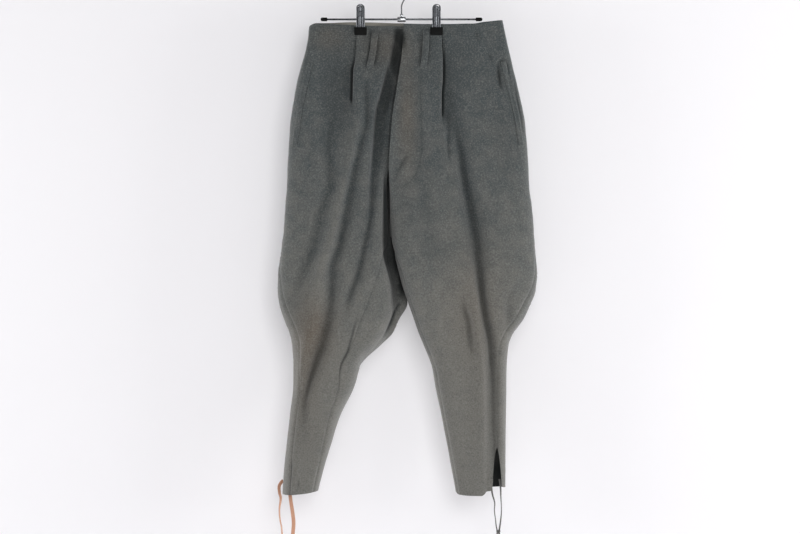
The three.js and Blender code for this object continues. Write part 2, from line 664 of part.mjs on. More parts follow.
const wool = new THREE.MeshStandardMaterial({ color: 0x5e615d, roughness: 0.95, metalness: 0 });
const chrome = new THREE.MeshStandardMaterial({ color: 0xc9cbce, roughness: 0.18, metalness: 1 });
const blackRubber = new THREE.MeshStandardMaterial({ color: 0x161716, roughness: 0.7, metalness: 0 });
const tanTape = new THREE.MeshStandardMaterial({ color: 0xc49a83, roughness: 0.9, metalness: 0 });
const greyLace = new THREE.MeshStandardMaterial({ color: 0x4c4b49, roughness: 0.9, metalness: 0 });

const root = new THREE.Group();

function add(name, geometry, material, x = 0, y = 0, z = 0) {
  const mesh = new THREE.Mesh(geometry, material);
  mesh.name = name;
  mesh.position.set(x, y, z);
  root.add(mesh);
}

// Assembly

add("front_left", legPanel(leftSide, "front"), wool);
add("front_right", legPanel(rightSide, "front"), wool);
add("back_left", legPanel(leftSide, "back"), wool);
add("back_right", legPanel(rightSide, "back"), wool);
add("fly_underlap", flyUnderlap(), wool);
for (const [place, { side, face, line }] of Object.entries(beltLoopLines)) {
  add(`belt_loop_${place}`, stripOn(side, face, line, loopWidth, loopThickness, bridge, 10), wool);
}
for (const [place, { side, line }] of Object.entries(pocketLines)) {
  add(`pocket_welt_${place}`, stripOn(side, 1, line, weltWidth, weltThickness, () => 0.2, 14), wool);
}

for (const [place, route] of Object.entries(tieRoutes)) {
  const isTape = place.startsWith("right");
  const [width, thickness] = isTape ? [tapeWidth, tapeThickness] : [laceWidth, laceThickness];
  add(`ankle_tie_${place}`, flatCord(route, width, thickness, 24), isTape ? tanTape : greyLace);
}
const knot = lathe([[4.8, -2.6], [5.8, -3.2], [6.8, 0], [5.8, 3.2], [4.8, 2.6], [4.8, -2.6]], "z", 14);
knot.scale(1, 0.72, 1);
add("ankle_tie_knot", knot, greyLace, ...knotCentre);

const rod = new THREE.CylinderGeometry(rodRadius, rodRadius, 2 * rodHalfLength, 16);
rod.rotateZ(Math.PI / 2);
add("hanger_rod", rod, chrome, 0, 0, rodZ);
const capProfile = [[0, 1.3], [2.3, 1.3], [2.3, -9], [3.6, -9], [4, -7.5], [4, 1.8], [3, 4.2], [0, 5]];
for (const [place, sign] of [["left", 1], ["right", -1]]) {
  const cap = lathe(capProfile, "x", 16);
  if (sign < 0) cap.rotateZ(Math.PI);
  add(`hanger_cap_${place}`, cap, blackRubber, sign * (rodHalfLength - 1), 0, rodZ);
}
add("hanger_collar", lathe(ringProfile(rodRadius + seamGap, 5.4, 8.5), "x", 20), chrome, 0, 0, rodZ);
const socket = lathe([[0, -0.6], [3.4, -0.6], [3.4, 4.6], [1.9, 4.6], [1.9, 0.8], [0, 0.8]], "z", 16);
add("hanger_socket", socket, chrome, 0, 0, rodZ + 6.3);
add("hanger_hook", hookGeometry(), chrome);
for (const [place, x] of Object.entries(clipXs)) {
  const sleeve = lathe(ringProfile(rodRadius + seamGap, 5, 8), "x", 16);
  add(`clip_sleeve_${place}`, sleeve, chrome, x, 0, rodZ);
  for (const [name, face] of [["front", 1], ["back", -1]]) {
    add(`clip_jaw_${name}_${place}`, jawGeometry(x, face), chrome);
    const padY = -face * (clothHalfThicknessAtClip + seamGap);
    add(`clip_pad_${name}_${place}`, padGeometry(face), blackRubber, x, padY, padTopZ - padHeight / 2);
  }
}

export default root;
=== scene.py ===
# Field-grey wool riding trousers on a clip hanger: the looks of every piece.
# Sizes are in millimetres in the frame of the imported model, and mm turns them to Blender's metres.
import math

import bpy
import numpy as np
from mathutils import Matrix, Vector


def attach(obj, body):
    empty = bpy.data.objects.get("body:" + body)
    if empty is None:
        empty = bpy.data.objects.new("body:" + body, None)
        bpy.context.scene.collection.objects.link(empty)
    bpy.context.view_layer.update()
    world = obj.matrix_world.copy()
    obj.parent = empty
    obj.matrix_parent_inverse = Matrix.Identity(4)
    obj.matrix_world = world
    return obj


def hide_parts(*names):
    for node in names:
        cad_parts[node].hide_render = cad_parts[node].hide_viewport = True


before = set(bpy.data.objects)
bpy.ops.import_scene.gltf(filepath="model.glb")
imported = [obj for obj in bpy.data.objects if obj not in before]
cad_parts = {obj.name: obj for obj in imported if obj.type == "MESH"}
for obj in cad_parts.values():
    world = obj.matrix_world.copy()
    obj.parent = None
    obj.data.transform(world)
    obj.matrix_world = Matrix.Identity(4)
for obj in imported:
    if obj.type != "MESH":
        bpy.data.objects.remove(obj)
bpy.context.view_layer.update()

mm = 0.001
body = "root"


# Small tools

def smooth(low, high, value):
    t = np.clip((value - low) / (high - low), 0, 1)
    return t * t * (3 - 2 * t)


def bell(value, width):
    return np.exp(-((value / width) ** 2))


def curveThrough(keys, values):
    # a smooth curve through a table's points that never swings past them
    keys, values = np.array(keys, float), np.array(values, float)
    chord = np.diff(values) / np.diff(keys)
    both = chord[:-1] * chord[1:]
    slope = np.zeros(len(keys))
    slope[1:-1] = np.where(both > 0, 2 * both / np.where(both > 0, chord[:-1] + chord[1:], 1), 0)
    slope[0], slope[-1] = chord[0], chord[-1]

    def read(at):
        at = np.clip(at, keys[0], keys[-1])
        i = np.clip(np.searchsorted(keys, at, side="right") - 1, 0, len(keys) - 2)
        h = keys[i + 1] - keys[i]
        t = (at - keys[i]) / h
        a, b = values[i], values[i + 1]
        return ((2 * t**3 - 3 * t**2 + 1) * a + (t**3 - 2 * t**2 + t) * h * slope[i]
                + (3 * t**2 - 2 * t**3) * b + (t**3 - t**2) * h * slope[i + 1])

    return read


def softNoise(u, v, size, seed):
    # smooth seeded bumps from -1 to 1 on a lattice of the given size
    lattice = np.random.default_rng(seed).uniform(-1, 1, (64, 64))
    a, b = u / size, v / size
    i, j = np.floor(a).astype(int), np.floor(b).astype(int)
    s, t = smooth(0, 1, a - i), smooth(0, 1, b - j)

    def pick(right, up):
        return lattice[(i + right) % 64, (j + up) % 64]

    low = pick(0, 0) * (1 - s) + pick(1, 0) * s
    high = pick(0, 1) * (1 - s) + pick(1, 1) * s
    return low * (1 - t) + high * t


def unit(vectors):
    return vectors / np.maximum(np.linalg.norm(vectors, axis=-1, keepdims=True), 1e-9)


def runAlong(points):
    # how far along a line each of its points lies
    return np.concatenate([[0], np.cumsum(np.linalg.norm(np.diff(points, axis=0), axis=1))])


def readAlong(values, run, at):
    # a line's three values at distances along it
    return np.stack([np.interp(at, run, values[:, k]) for k in range(3)], axis=-1)


def ovalSection(wide, thick, count):
    turn = np.linspace(0, 2 * np.pi, count, endpoint=False)
    return np.stack([wide * np.cos(turn), thick * np.sin(turn)], axis=1)


def selectOnly(piece):
    bpy.ops.object.select_all(action="DESELECT")
    piece.select_set(True)
    bpy.context.view_layer.objects.active = piece


def applyModifier(piece, name, kind, **settings):
    selectOnly(piece)
    modifier = piece.modifiers.new(name, kind)
    for key, value in settings.items():
        setattr(modifier, key, value)
    bpy.ops.object.modifier_apply(modifier=modifier.name)


def keepPiece(piece, material, nodes=()):
    piece.data.materials.clear()
    piece.data.materials.append(material)
    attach(piece, body)
    if nodes:
        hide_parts(*nodes)
    return piece


def meshPiece(name, points, faces, uv=None, angle=40):
    # points in millimetres become a smooth-shaded mesh piece
    mesh = bpy.data.meshes.new(name)
    mesh.from_pydata((np.asarray(points) * mm).tolist(), [], faces)
    if uv is not None:
        layer = mesh.uv_layers.new(name="cloth")
        loops = np.zeros(len(mesh.loops), int)
        mesh.loops.foreach_get("vertex_index", loops)
        layer.data.foreach_set("uv", (np.asarray(uv) * mm)[loops].ravel())
    piece = bpy.data.objects.new(name, mesh)
    bpy.context.collection.objects.link(piece)
    selectOnly(piece)
    bpy.ops.object.shade_smooth_by_angle(angle=math.radians(angle))
    return piece


def signedVolume(points, faces):
    total = 0.0
    for face in faces:
        a, b, c = points[face[0]], points[face[1]], points[face[2]]
        total += float(np.dot(a, np.cross(b, c)))
        if len(face) == 4:
            total += float(np.dot(a, np.cross(c, points[face[3]])))
    return total


def wallPiece(name, outer, inner, uv=None, angle=40):
    # a closed wall between two grids of points, rows by columns
    rows, columns = outer.shape[:2]
    points = np.concatenate([outer.reshape(-1, 3), inner.reshape(-1, 3)])
    at = np.arange(2 * rows * columns).reshape(2, rows, columns)

    def quad(*corners):
        return np.stack([corner.ravel() for corner in corners], axis=1)

    faces = [
        quad(at[0, :-1, :-1], at[0, 1:, :-1], at[0, 1:, 1:], at[0, :-1, 1:]),
        quad(at[1, :-1, :-1], at[1, :-1, 1:], at[1, 1:, 1:], at[1, 1:, :-1]),
        quad(at[0, :-1, 0], at[1, :-1, 0], at[1, 1:, 0], at[0, 1:, 0]),
        quad(at[0, :-1, -1], at[0, 1:, -1], at[1, 1:, -1], at[1, :-1, -1]),
        quad(at[0, 0, :-1], at[0, 0, 1:], at[1, 0, 1:], at[1, 0, :-1]),
        quad(at[0, -1, :-1], at[1, -1, :-1], at[1, -1, 1:], at[0, -1, 1:]),
    ]
    faces = np.concatenate(faces).tolist()
    if signedVolume(points, faces[:: max(1, len(faces) // 20000)]) < 0 and signedVolume(points, faces) < 0:
        faces = [face[::-1] for face in faces]
    if uv is not None:
        uv = np.concatenate([uv.reshape(-1, 2), uv.reshape(-1, 2)])
    return meshPiece(name, points, faces, uv, angle)


# Camera

cameraView = {"lens": 75, "sensor": 36, "millimetresPerPixel": 2.1, "imageWidth": 800, "x": -3.2, "z": -612,
              "clipEnd": 50}


def addCamera():
    width = cameraView["imageWidth"] * cameraView["millimetresPerPixel"]
    distance = width * cameraView["lens"] / cameraView["sensor"]
    data = bpy.data.cameras.new("camera")
    data.lens = cameraView["lens"]
    data.sensor_width = cameraView["sensor"]
    data.clip_end = cameraView["clipEnd"]
    camera = bpy.data.objects.new("camera", data)
    camera.location = (cameraView["x"] * mm, -distance * mm, cameraView["z"] * mm)
    camera.rotation_euler = (math.pi / 2, 0, 0)
    bpy.context.collection.objects.link(camera)
    bpy.context.scene.camera = camera


addCamera()
print("camera placed")


# Materials

def linearColour(code):
    parts = [int(code[i:i + 2], 16) / 255 for i in (1, 3, 5)]
    return [c / 12.92 if c <= 0.04045 else ((c + 0.055) / 1.055) ** 2.4 for c in parts] + [1.0]


def addNode(tree, kind, links=None, **settings):
    # adds a node; settings are its own properties or its inputs, links are inputs taken from other nodes
    node = tree.nodes.new(kind)
    for name, value in settings.items():
        if hasattr(node, name):
            setattr(node, name, value)
        else:
            node.inputs[name.replace("_", " ")].default_value = value
    for name, source in (links or {}).items():
        tree.links.new(source, node.inputs[name])
    return node


def newMaterial(name, colour=None, **settings):
    # a material whose own shader has the given colour and values
    material = bpy.data.materials.new(name)
    material.use_nodes = True
    tree = material.node_tree
    shader = tree.nodes["Principled BSDF"]
    if colour:
        shader.inputs["Base Color"].default_value = linearColour(colour)
    for key, value in settings.items():
        shader.inputs[key.replace("_", " ")].default_value = value
    return material, tree, shader


def addNoise(tree, place, size, **settings):
    # noise with lumps of a size in millimetres
    return addNode(tree, "ShaderNodeTexNoise", {"Vector": place.outputs["Object"]},
                   Scale=1 / (size * mm), **settings).outputs["Fac"]


def addRange(tree, value, low, high, toLow, toHigh):
    return addNode(tree, "ShaderNodeMapRange", {"Value": value}, From_Min=low, From_Max=high,
                   To_Min=toLow, To_Max=toHigh).outputs["Result"]


def addMath(tree, operation, first, second, **settings):
    return addNode(tree, "ShaderNodeMath", {0: first, 1: second}, operation=operation, **settings).outputs[0]


def addColour(tree, factor, below, code):
    # a fixed colour over the one below, which is fixed too or comes from a node
    links = {"Factor": factor} if isinstance(below, str) else {"Factor": factor, 6: below}
    mix = addNode(tree, "ShaderNodeMix", links, data_type="RGBA")
    if isinstance(below, str):
        mix.inputs[6].default_value = linearColour(below)
    mix.inputs[7].default_value = linearColour(code)
    return mix.outputs[2]


def addBump(tree, shader, height, strength, distance):
    bump = addNode(tree, "ShaderNodeBump", {"Height": height}, Strength=strength, Distance=distance * mm)
    tree.links.new(bump.outputs["Normal"], shader.inputs["Normal"])


meltonLook = {
    "new": "#3c4243",        # upper parts, still blue-green grey
    "worn": "#65645f",       # legs, faded warm grey; also painted onto ridges as light
    "flight": "#787a76",     # pale kemp fibres in the mix
    "dark": "#1c2020",       # dark fibres in the mix
    "shadow": "#141717",     # bottoms of narrow folds, where little light comes back
    "soil": "#54493c",       # brownish handling marks and knees
    "facing": "#7b7971",     # cotton facing inside the waist
    "fibre": 2.9,            # mm, clumps of fibres, drawn coarser than the real 0.5 mm so that they show
    "blotch": 26,            # mm, uneven fading
    "twill": 2.4,            # mm, weave lines, drawn at twice the real pitch so that they show
    "twillTurn": 35,         # degrees
    # from and to which value each one is read, and what it gives there
    "uneven": (0.3, 0.7, -0.22, 0.22),
    "paleShare": (0.5, 0.74, 0.0, 0.62),
    "darkShare": (0.48, 0.26, 0.0, 0.5),
    "nap": (0.2, 0.9, 0.25, 0.02),      # little light reaches the nap in a narrow fold
    "bump": (0.35, 0.5),     # strength, and height in mm
}


def makeMelton():
    # wool cloth, woven in twill and milled: matt, fuzzy, mixed from pale and dark fibres
    look = meltonLook
    material, tree, shader = newMaterial("milledWoolMelton", Roughness=0.94, Specular_IOR_Level=0.25,
                                         Sheen_Roughness=0.6)
    place = addNode(tree, "ShaderNodeTexCoord")
    wearAndShade = addNode(tree, "ShaderNodeAttribute", attribute_name="wearAndShade")
    parts = addNode(tree, "ShaderNodeSeparateColor", {"Color": wearAndShade.outputs["Color"]})
    blotch = addNoise(tree, place, look["blotch"], Detail=5.0, Roughness=0.6)
    uneven = addRange(tree, blotch, *look["uneven"])
    fade = addMath(tree, "ADD", parts.outputs["Red"], uneven, use_clamp=True)
    fibre = addNoise(tree, place, look["fibre"], Detail=3.0, Roughness=0.7)
    colour = look["new"]
    # Red carries fading plus painted light on ridges; Blue is painted shade in hollows, slits, creases and
    # dark places
    for factor, name in (
            (fade, "worn"), (parts.outputs["Green"], "soil"),
            (addRange(tree, fibre, *look["paleShare"]), "flight"),
            (addRange(tree, fibre, *look["darkShare"]), "dark"),
            (parts.outputs["Blue"], "shadow"), (wearAndShade.outputs["Alpha"], "facing")):
        colour = addColour(tree, factor, colour, look[name])
    tree.links.new(colour, shader.inputs["Base Color"])
    turned = addNode(tree, "ShaderNodeMapping", {"Vector": place.outputs["UV"]})
    turned.inputs["Rotation"].default_value = (0, 0, math.radians(look["twillTurn"]))
    twill = addNode(tree, "ShaderNodeTexWave", {"Vector": turned.outputs["Vector"]},
                    Scale=1 / (look["twill"] * mm) / math.pi, Distortion=2.0, Detail=2.0, Detail_Scale=1.5)
    addBump(tree, shader, addMath(tree, "ADD", twill.outputs["Fac"], fibre), *look["bump"])
    tree.links.new(addRange(tree, parts.outputs["Blue"], *look["nap"]), shader.inputs["Sheen Weight"])
    return material


def makeWeave(name, colour, pale, pitch):
    # plain-woven cotton tape or braid: fine cross threads, matt
    material, tree, shader = newMaterial(name, Roughness=0.9, Sheen_Weight=0.15)
    place = addNode(tree, "ShaderNodeTexCoord")
    threads = [addNode(tree, "ShaderNodeTexWave", {"Vector": place.outputs["UV"]}, bands_direction=direction,
                       Scale=1 / (pitch * mm) / math.pi, Distortion=0.6).outputs["Fac"] for direction in "XY"]
    weave = addMath(tree, "MULTIPLY", *threads)
    blend = addMath(tree, "MULTIPLY", weave, addNoise(tree, place, 9, Detail=4.0))
    tree.links.new(addColour(tree, blend, colour, pale), shader.inputs["Base Color"])
    addBump(tree, shader, weave, 0.5, 0.3)
    return material


def makePlatedSteel(name, colour, smoothest, roughest):
    # plated steel: bright, with a faint uneven haze from handling
    material, tree, shader = newMaterial(name, colour, Metallic=1.0)
    haze = addNoise(tree, addNode(tree, "ShaderNodeTexCoord"), 6, Detail=6.0)
    tree.links.new(addRange(tree, haze, 0.35, 0.7, smoothest, roughest), shader.inputs["Roughness"])
    return material


def makeRubber():
    # moulded black rubber: matt, with a faint grain
    material, tree, shader = newMaterial("mouldedBlackRubber", "#070807", Roughness=0.85,
                                         Specular_IOR_Level=0.2)
    addBump(tree, shader, addNoise(tree, addNode(tree, "ShaderNodeTexCoord"), 0.8, Detail=3.0), 0.3, 0.15)
    return material


melton = makeMelton()
thread = makeWeave("greyLinenThread", "#4c5250", "#7c7f78", 0.8)
tapeCotton = makeWeave("fadedTanCottonTape", "#b8876d", "#e2c0a6", 1.1)
laceCotton = makeWeave("greyCottonBraid", "#4f4e4c", "#8b8983", 1.2)
chrome = makePlatedSteel("chromePlatedSteel", "#a4a6a8", 0.1, 0.3)
nickel = makePlatedSteel("dullNickelPlatedSteel", "#55575a", 0.22, 0.4)
rubber = makeRubber()
print("materials made")


# Ankle ties: the routes repeat the solids' own

ties = {
    "right_outer": {"width": 8, "thick": 0.9, "turn": [25, 50, 74, 80, 72, 82, 76, 84], "route": [
        (-249, 12, -1062), (-253.5, 10, -1066), (-257.6, 8, -1074), (-256.5, 6, -1088), (-254, 5, -1099),
        (-256.6, 4, -1122), (-255.2, 4, -1143), (-251.6, 5, -1164), (-250.8, 6, -1200), (-253, 6, -1240),
        (-252, 5, -1280)]},
    "right_inner": {"width": 8, "thick": 0.9, "turn": [10, 25, 8, 20, 0, 15, 30], "route": [
        (-236.6, 18.2, -1070), (-236, 16.9, -1084), (-233.2, 12.6, -1106), (-229.6, 10, -1128),
        (-227.2, 9, -1150),
        (-228.6, 8, -1172), (-231, 8, -1205), (-229, 9, -1245), (-230, 9, -1290)]},
    "left_front": {"width": 4.2, "thick": 2.2, "turn": [0, 60, 120, 200, 260], "route": [
        (187, -13, -1058), (188.4, -12.8, -1074), (190.4, -10.6, -1088), (195, -10, -1106),
        (194.6, -9.6, -1122),
        (196.6, -9, -1140), (198.6, -8, -1156), (200.6, -8, -1166), (199.6, -8, -1184), (197.4, -8, -1215),
        (198.6, -8, -1262)]},
    "left_back": {"width": 4.2, "thick": 2.2, "turn": [0, 80, 150, 210, 300], "route": [
        (205.1, -10.2, -1056), (207.4, -8.9, -1074), (208.2, -7.6, -1096), (209.2, -7.8, -1114),
        (208.9, -8, -1130),
        (207, -8, -1148), (205.6, -8, -1158), (204.6, -8, -1167), (205.6, -8, -1186), (207.6, -8, -1220),
        (206.4, -8, -1275)]},
}
knotCentre = (202.8, -8, -1166)


def alongRoute(route, spacing):
    # a smooth line through the route's points, at an even spacing
    route = np.array(route, float)
    reach = runAlong(route)
    fine = np.linspace(0, reach[-1], 400)
    ends = np.vstack([2 * route[0] - route[1], route, 2 * route[-1] - route[-2]])
    i = np.clip(np.searchsorted(reach, fine, side="right") - 1, 0, len(route) - 2)
    t = ((fine - reach[i]) / (reach[i + 1] - reach[i]))[:, None]
    p0, p1, p2, p3 = ends[i], ends[i + 1], ends[i + 2], ends[i + 3]
    line = 0.5 * (2 * p1 + (p2 - p0) * t + (2 * p0 - 5 * p1 + 4 * p2 - p3) * t**2
                  + (3 * p1 - p0 - 3 * p2 + p3) * t**3)
    run = runAlong(line)
    even = np.linspace(0, run[-1], max(8, int(run[-1] / spacing)))
    return readAlong(line, run, even), even


def sweptPiece(name, line, run, section, turns, scale=None):
    # sweeps a section of (across, through) points along a line, with its ends closed
    direction = unit(np.gradient(line, axis=0))
    angle = np.radians(np.interp(run / run[-1], np.linspace(0, 1, len(turns)), turns))
    across = np.stack([np.cos(angle), np.sin(angle), np.zeros_like(angle)], axis=1)
    across = unit(across - direction * np.sum(across * direction, axis=1)[:, None])
    through = np.cross(direction, across)
    section = np.array(section, float)
    size = np.ones(len(line)) if scale is None else scale
    rings = line[:, None] + size[:, None, None] * (section[None, :, :1] * across[:, None]
                                                    + section[None, :, 1:] * through[:, None])
    count = len(section)
    points = rings.reshape(-1, 3)
    faces = []
    for first in range(0, (len(line) - 1) * count, count):
        for c in range(count):
            a, b = first + c, first + (c + 1) % count
            faces.append([a, b, b + count, a + count])
    faces.append(list(range(count))[::-1])
    faces.append(list(range((len(line) - 1) * count, len(line) * count)))
    if signedVolume(points, faces[:-2]) < 0:
        faces = [face[::-1] for face in faces]
    uv = np.stack([np.tile(section[:, 0], len(line)), np.repeat(run, count)], axis=1)
    return meshPiece(name, points, faces, uv, 60)


def makeTies():
    for place, tie in ties.items():
        isTape = place.startswith("right")
        line, run = alongRoute(tie["route"], 1.2)
        w, t = tie["width"] / 2, tie["thick"] / 2
        if isTape:
            across = np.array([-1, -0.94, -0.5, 0, 0.5, 0.94, 1, 0.94, 0.5, 0, -0.5, -0.94]) * w
            through = np.array([0, 1, 1, 1, 1, 1, 0, -1, -1, -1, -1, -1]) * t
            section = np.stack([across, through - 0.05 * (across / w) ** 2 * w * 0.6], axis=1)
            scale = None
        else:
            section = ovalSection(w, t, 12)
            scale = 1 - 0.07 * (0.5 + 0.5 * np.sin(run / 1.1))
        name = "ankleTie_" + place
        piece = sweptPiece(name, line, run, section, tie["turn"], scale)
        keepPiece(piece, tapeCotton if isTape else laceCotton,
                  ["ankle_tie_" + place])


def makeKnot():
    t = np.linspace(0, 2 * np.pi, 90)
    line = np.stack([np.sin(t) + 2 * np.sin(2 * t), -0.8 * np.sin(3 * t), np.cos(t) - 2 * np.cos(2 * t)],
                    axis=1)
    line = line * np.array([1.15, 1.3, 0.95]) + knotCentre
    piece = sweptPiece("ankleTie_knot", line, runAlong(line), ovalSection(1.5, 1.2, 10), [0, 180, 360])
    return keepPiece(piece, laceCotton, ["ankle_tie_knot"])


makeTies()
knotPiece = makeKnot()
print("ankle ties made")


# The garment's form, as the solids have it

form = {
    "waistZ": -102.7, "length": 985, "fork": 448, "flyEnd": 331, "slitTop": 887,
    "cloth": 1.9, "seamGap": 0.3,
    "touch": 1.3, "touchReach": 22,     # the legs' cloth moves together at the fork, and over this much drop
    "pressed": 2.15,                    # how far from the middle each layer lies in a clip
    "clipHold": (22, 70),               # beside a clip, where it holds the layers and where it lets them go
    "clipFade": (24, 150),              # the same below it
    "pressedFrom": (26, 12),            # from which distance to the inner and the outer edge the layers part
    "turnDepth": 14, "notchDepth": 9,   # how deep the inner turn and the notch in it reach
    "hemReach": 110, "edgeReach": 170,  # how far from the hem and the waist their lines still shift the cloth
}
outlineColumns = ("drop", "outer", "inner", "lobe", "front", "back", "fly", "seat", "outRound", "inRound",
                  "soft", "notch")
leftOutline = [
    (0, 213, 4, 4, 8, 8, 8, 8, 10, 40, 1, 0),
    (60, 227, 0.5, 0, 13, 13, 13, 13, 18, 40, 1, 0),
    (120, 242, -8, -2, 21, 21, 22, 20, 34, 40, 1, 0),
    (200, 259, -20, -5, 29, 29, 30, 27, 60, 45, 1, 0),
    (280, 267, -26, -12, 34, 35, 33, 29, 86, 52, 1, 0),
    (331, 269.5, -28.3, -17, 36, 38, 19, 25, 98, 56, 1, 0),
    (390, 275, -27, -19, 38, 41, 9, 15, 106, 60, 1, 0),
    (448, 280, -25, -17, 39, 42, 0, 0, 112, 40, 0.8, 0),
    (490, 283.5, -16, -6, 40, 42, 0, 0, 116, 38, 0.55, 0),
    (525, 285, -7, 2.5, 40, 42, 0, 0, 116, 36, 0.5, 0),
    (560, 281.5, 3.2, 12, 39, 41, 0, 0, 112, 36, 0.5, 0),
    (585, 272.5, 12.2, 18.5, 38, 40, 0, 0, 104, 36, 0.5, 0),
    (620, 255.5, 24.6, 28, 36, 38, 0, 0, 88, 38, 0.5, 0),
    (650, 234, 36.5, 36.5, 34, 36, 0, 0, 60, 40, 0.5, 0),
    (672, 225, 45.4, 45.4, 33, 35, 0, 0, 50, 40, 0.5, 0),
    (720, 221, 64, 64, 31, 33, 0, 0, 42, 38, 0.5, 0),
    (760, 220, 71.5, 71.5, 29, 31, 0, 0, 38, 36, 0.5, 0),
    (860, 219, 92, 92, 25, 27, 0, 0, 32, 32, 0.5, 0),
    (985, 218.5, 114, 114, 21, 23, 0, 0, 28, 28, 0.5, 0),
]
rightOutline = [
    (0, -195, 10, 4, 8, 8, 4.2, 8, 10, 30, 1, 0),
    (60, -205, 6.5, 0, 13, 13, 7, 13, 18, 34, 1, 0),
    (120, -220, -2, -2, 21, 21, 10, 20, 34, 44, 1, 0),
    (200, -233.5, -14, -5, 29, 29, 13, 27, 60, 56, 1, 0),
    (280, -239.5, -22, -12, 34, 35, 16, 29, 84, 58, 1, 0),
    (331, -242, -28.3, -17, 36, 38, 14, 25, 94, 54, 1, 0),
    (390, -246.5, -27.2, -19.1, 38, 41, 9, 15, 102, 44, 1, 0),
    (448, -250, -25.4, -17.3, 39, 42, 0, 0, 108, 36, 0.8, 0),
    (490, -255, -28, -6.5, 40, 42, 0, 0, 110, 32, 0.55, 2),
    (525, -259, -21.5, 1.9, 41, 42, 0, 0, 108, 32, 0.5, 4),
    (560, -260, -16, 11.3, 41, 42, 0, 0, 104, 34, 0.5, 6),
    (585, -257, -16, 15, 41, 42, 0, 0, 98, 34, 0.5, 7),
    (620, -246, -22, -3.2, 40, 41, 0, 0, 86, 36, 0.5, 7),
    (650, -234.5, -35, -17.5, 39, 40, 0, 0, 62, 38, 0.5, 4),
    (672, -230, -50.5, -40, 38, 39, 0, 0, 54, 38, 0.5, 0),
    (720, -227.6, -87.5, -87.5, 37, 38, 0, 0, 46, 36, 0.5, 0),
    (760, -227.6, -98.7, -98.7, 36, 37, 0, 0, 40, 34, 0.5, 0),
    (820, -234.5, -128, -128, 34, 35, 0, 0, 36, 32, 0.5, 0),
    (860, -239.6, -142, -142, 33, 34, 0, 0, 32, 30, 0.5, 0),
    (985, -250.5, -174.5, -174.5, 30, 31, 0, 0, 28, 26, 0.5, 0),
]


def makeSide(sign, outline, outseam, inseam, hem, edgeLift, backLift, slit, clipX):
    # gathers one leg's tables: seams by (drop, turn), hem by (turn, drop), waist edge by (x, lift),
    # and by how much more the rear's waist edge stands up
    side = {"sign": sign, "slit": slit, "clipX": clipX}
    for k, name in enumerate(outlineColumns[1:], 1):
        side[name] = curveThrough([row[0] for row in outline], [row[k] for row in outline])
    for name, rows in (("outseam", outseam), ("inseam", inseam), ("hem", hem), ("edgeLift", edgeLift),
                       ("backLift", backLift)):
        side[name] = curveThrough(*zip(*rows))
    return side


leftSide = makeSide(
    1, leftOutline,
    outseam=[(0, 1), (448, 1), (525, 0.985), (585, 0.935), (650, 0.9), (760, 0.875), (887, 0.86),
             (985, 0.855)],
    inseam=[(0, 0), (448, 0), (525, 0.03), (585, 0.035), (985, 0.035)],
    hem=[(0, 981), (0.03, 985), (0.3, 987), (0.5, 987), (0.56, 984), (0.61, 978), (0.72, 976.5), (0.9, 969),
         (1, 971), (1.4, 975), (2, 981)],
    edgeLift=[(4, 0.8), (147, 0.8), (172, 4.2), (213, 8.6)],
    backLift=[(4, 2.4), (26, 0.6), (60, 0), (213, 0)], slit=(14, 7), clipX=73.5)
rightSide = makeSide(
    -1, rightOutline,
    outseam=[(0, 1), (448, 1), (490, 0.995), (515, 0.985), (574, 0.95), (648, 0.91), (711, 0.885),
             (760, 0.87),
             (887, 0.84), (985, 0.77)],
    inseam=[(0, 0), (448, 0), (490, 0.05), (515, 0.1), (574, 0.205), (648, 0.3), (711, 0.29), (760, 0.25),
            (887, 0.16), (985, 0.12)],
    hem=[(0, 978), (0.5, 983), (0.9, 985), (1.1, 984), (1.5, 981), (2, 978)],
    edgeLift=[(-195, -4.5), (-178, 1.8), (-140, 0), (-16, -4.4), (10, -4.6)],
    backLift=[(-195, 0), (-178, 1.5), (-140, 4), (-100, 6.5), (-16, 8),
              (10, 7.8)], slit=(0.3, 0.3), clipX=-86)

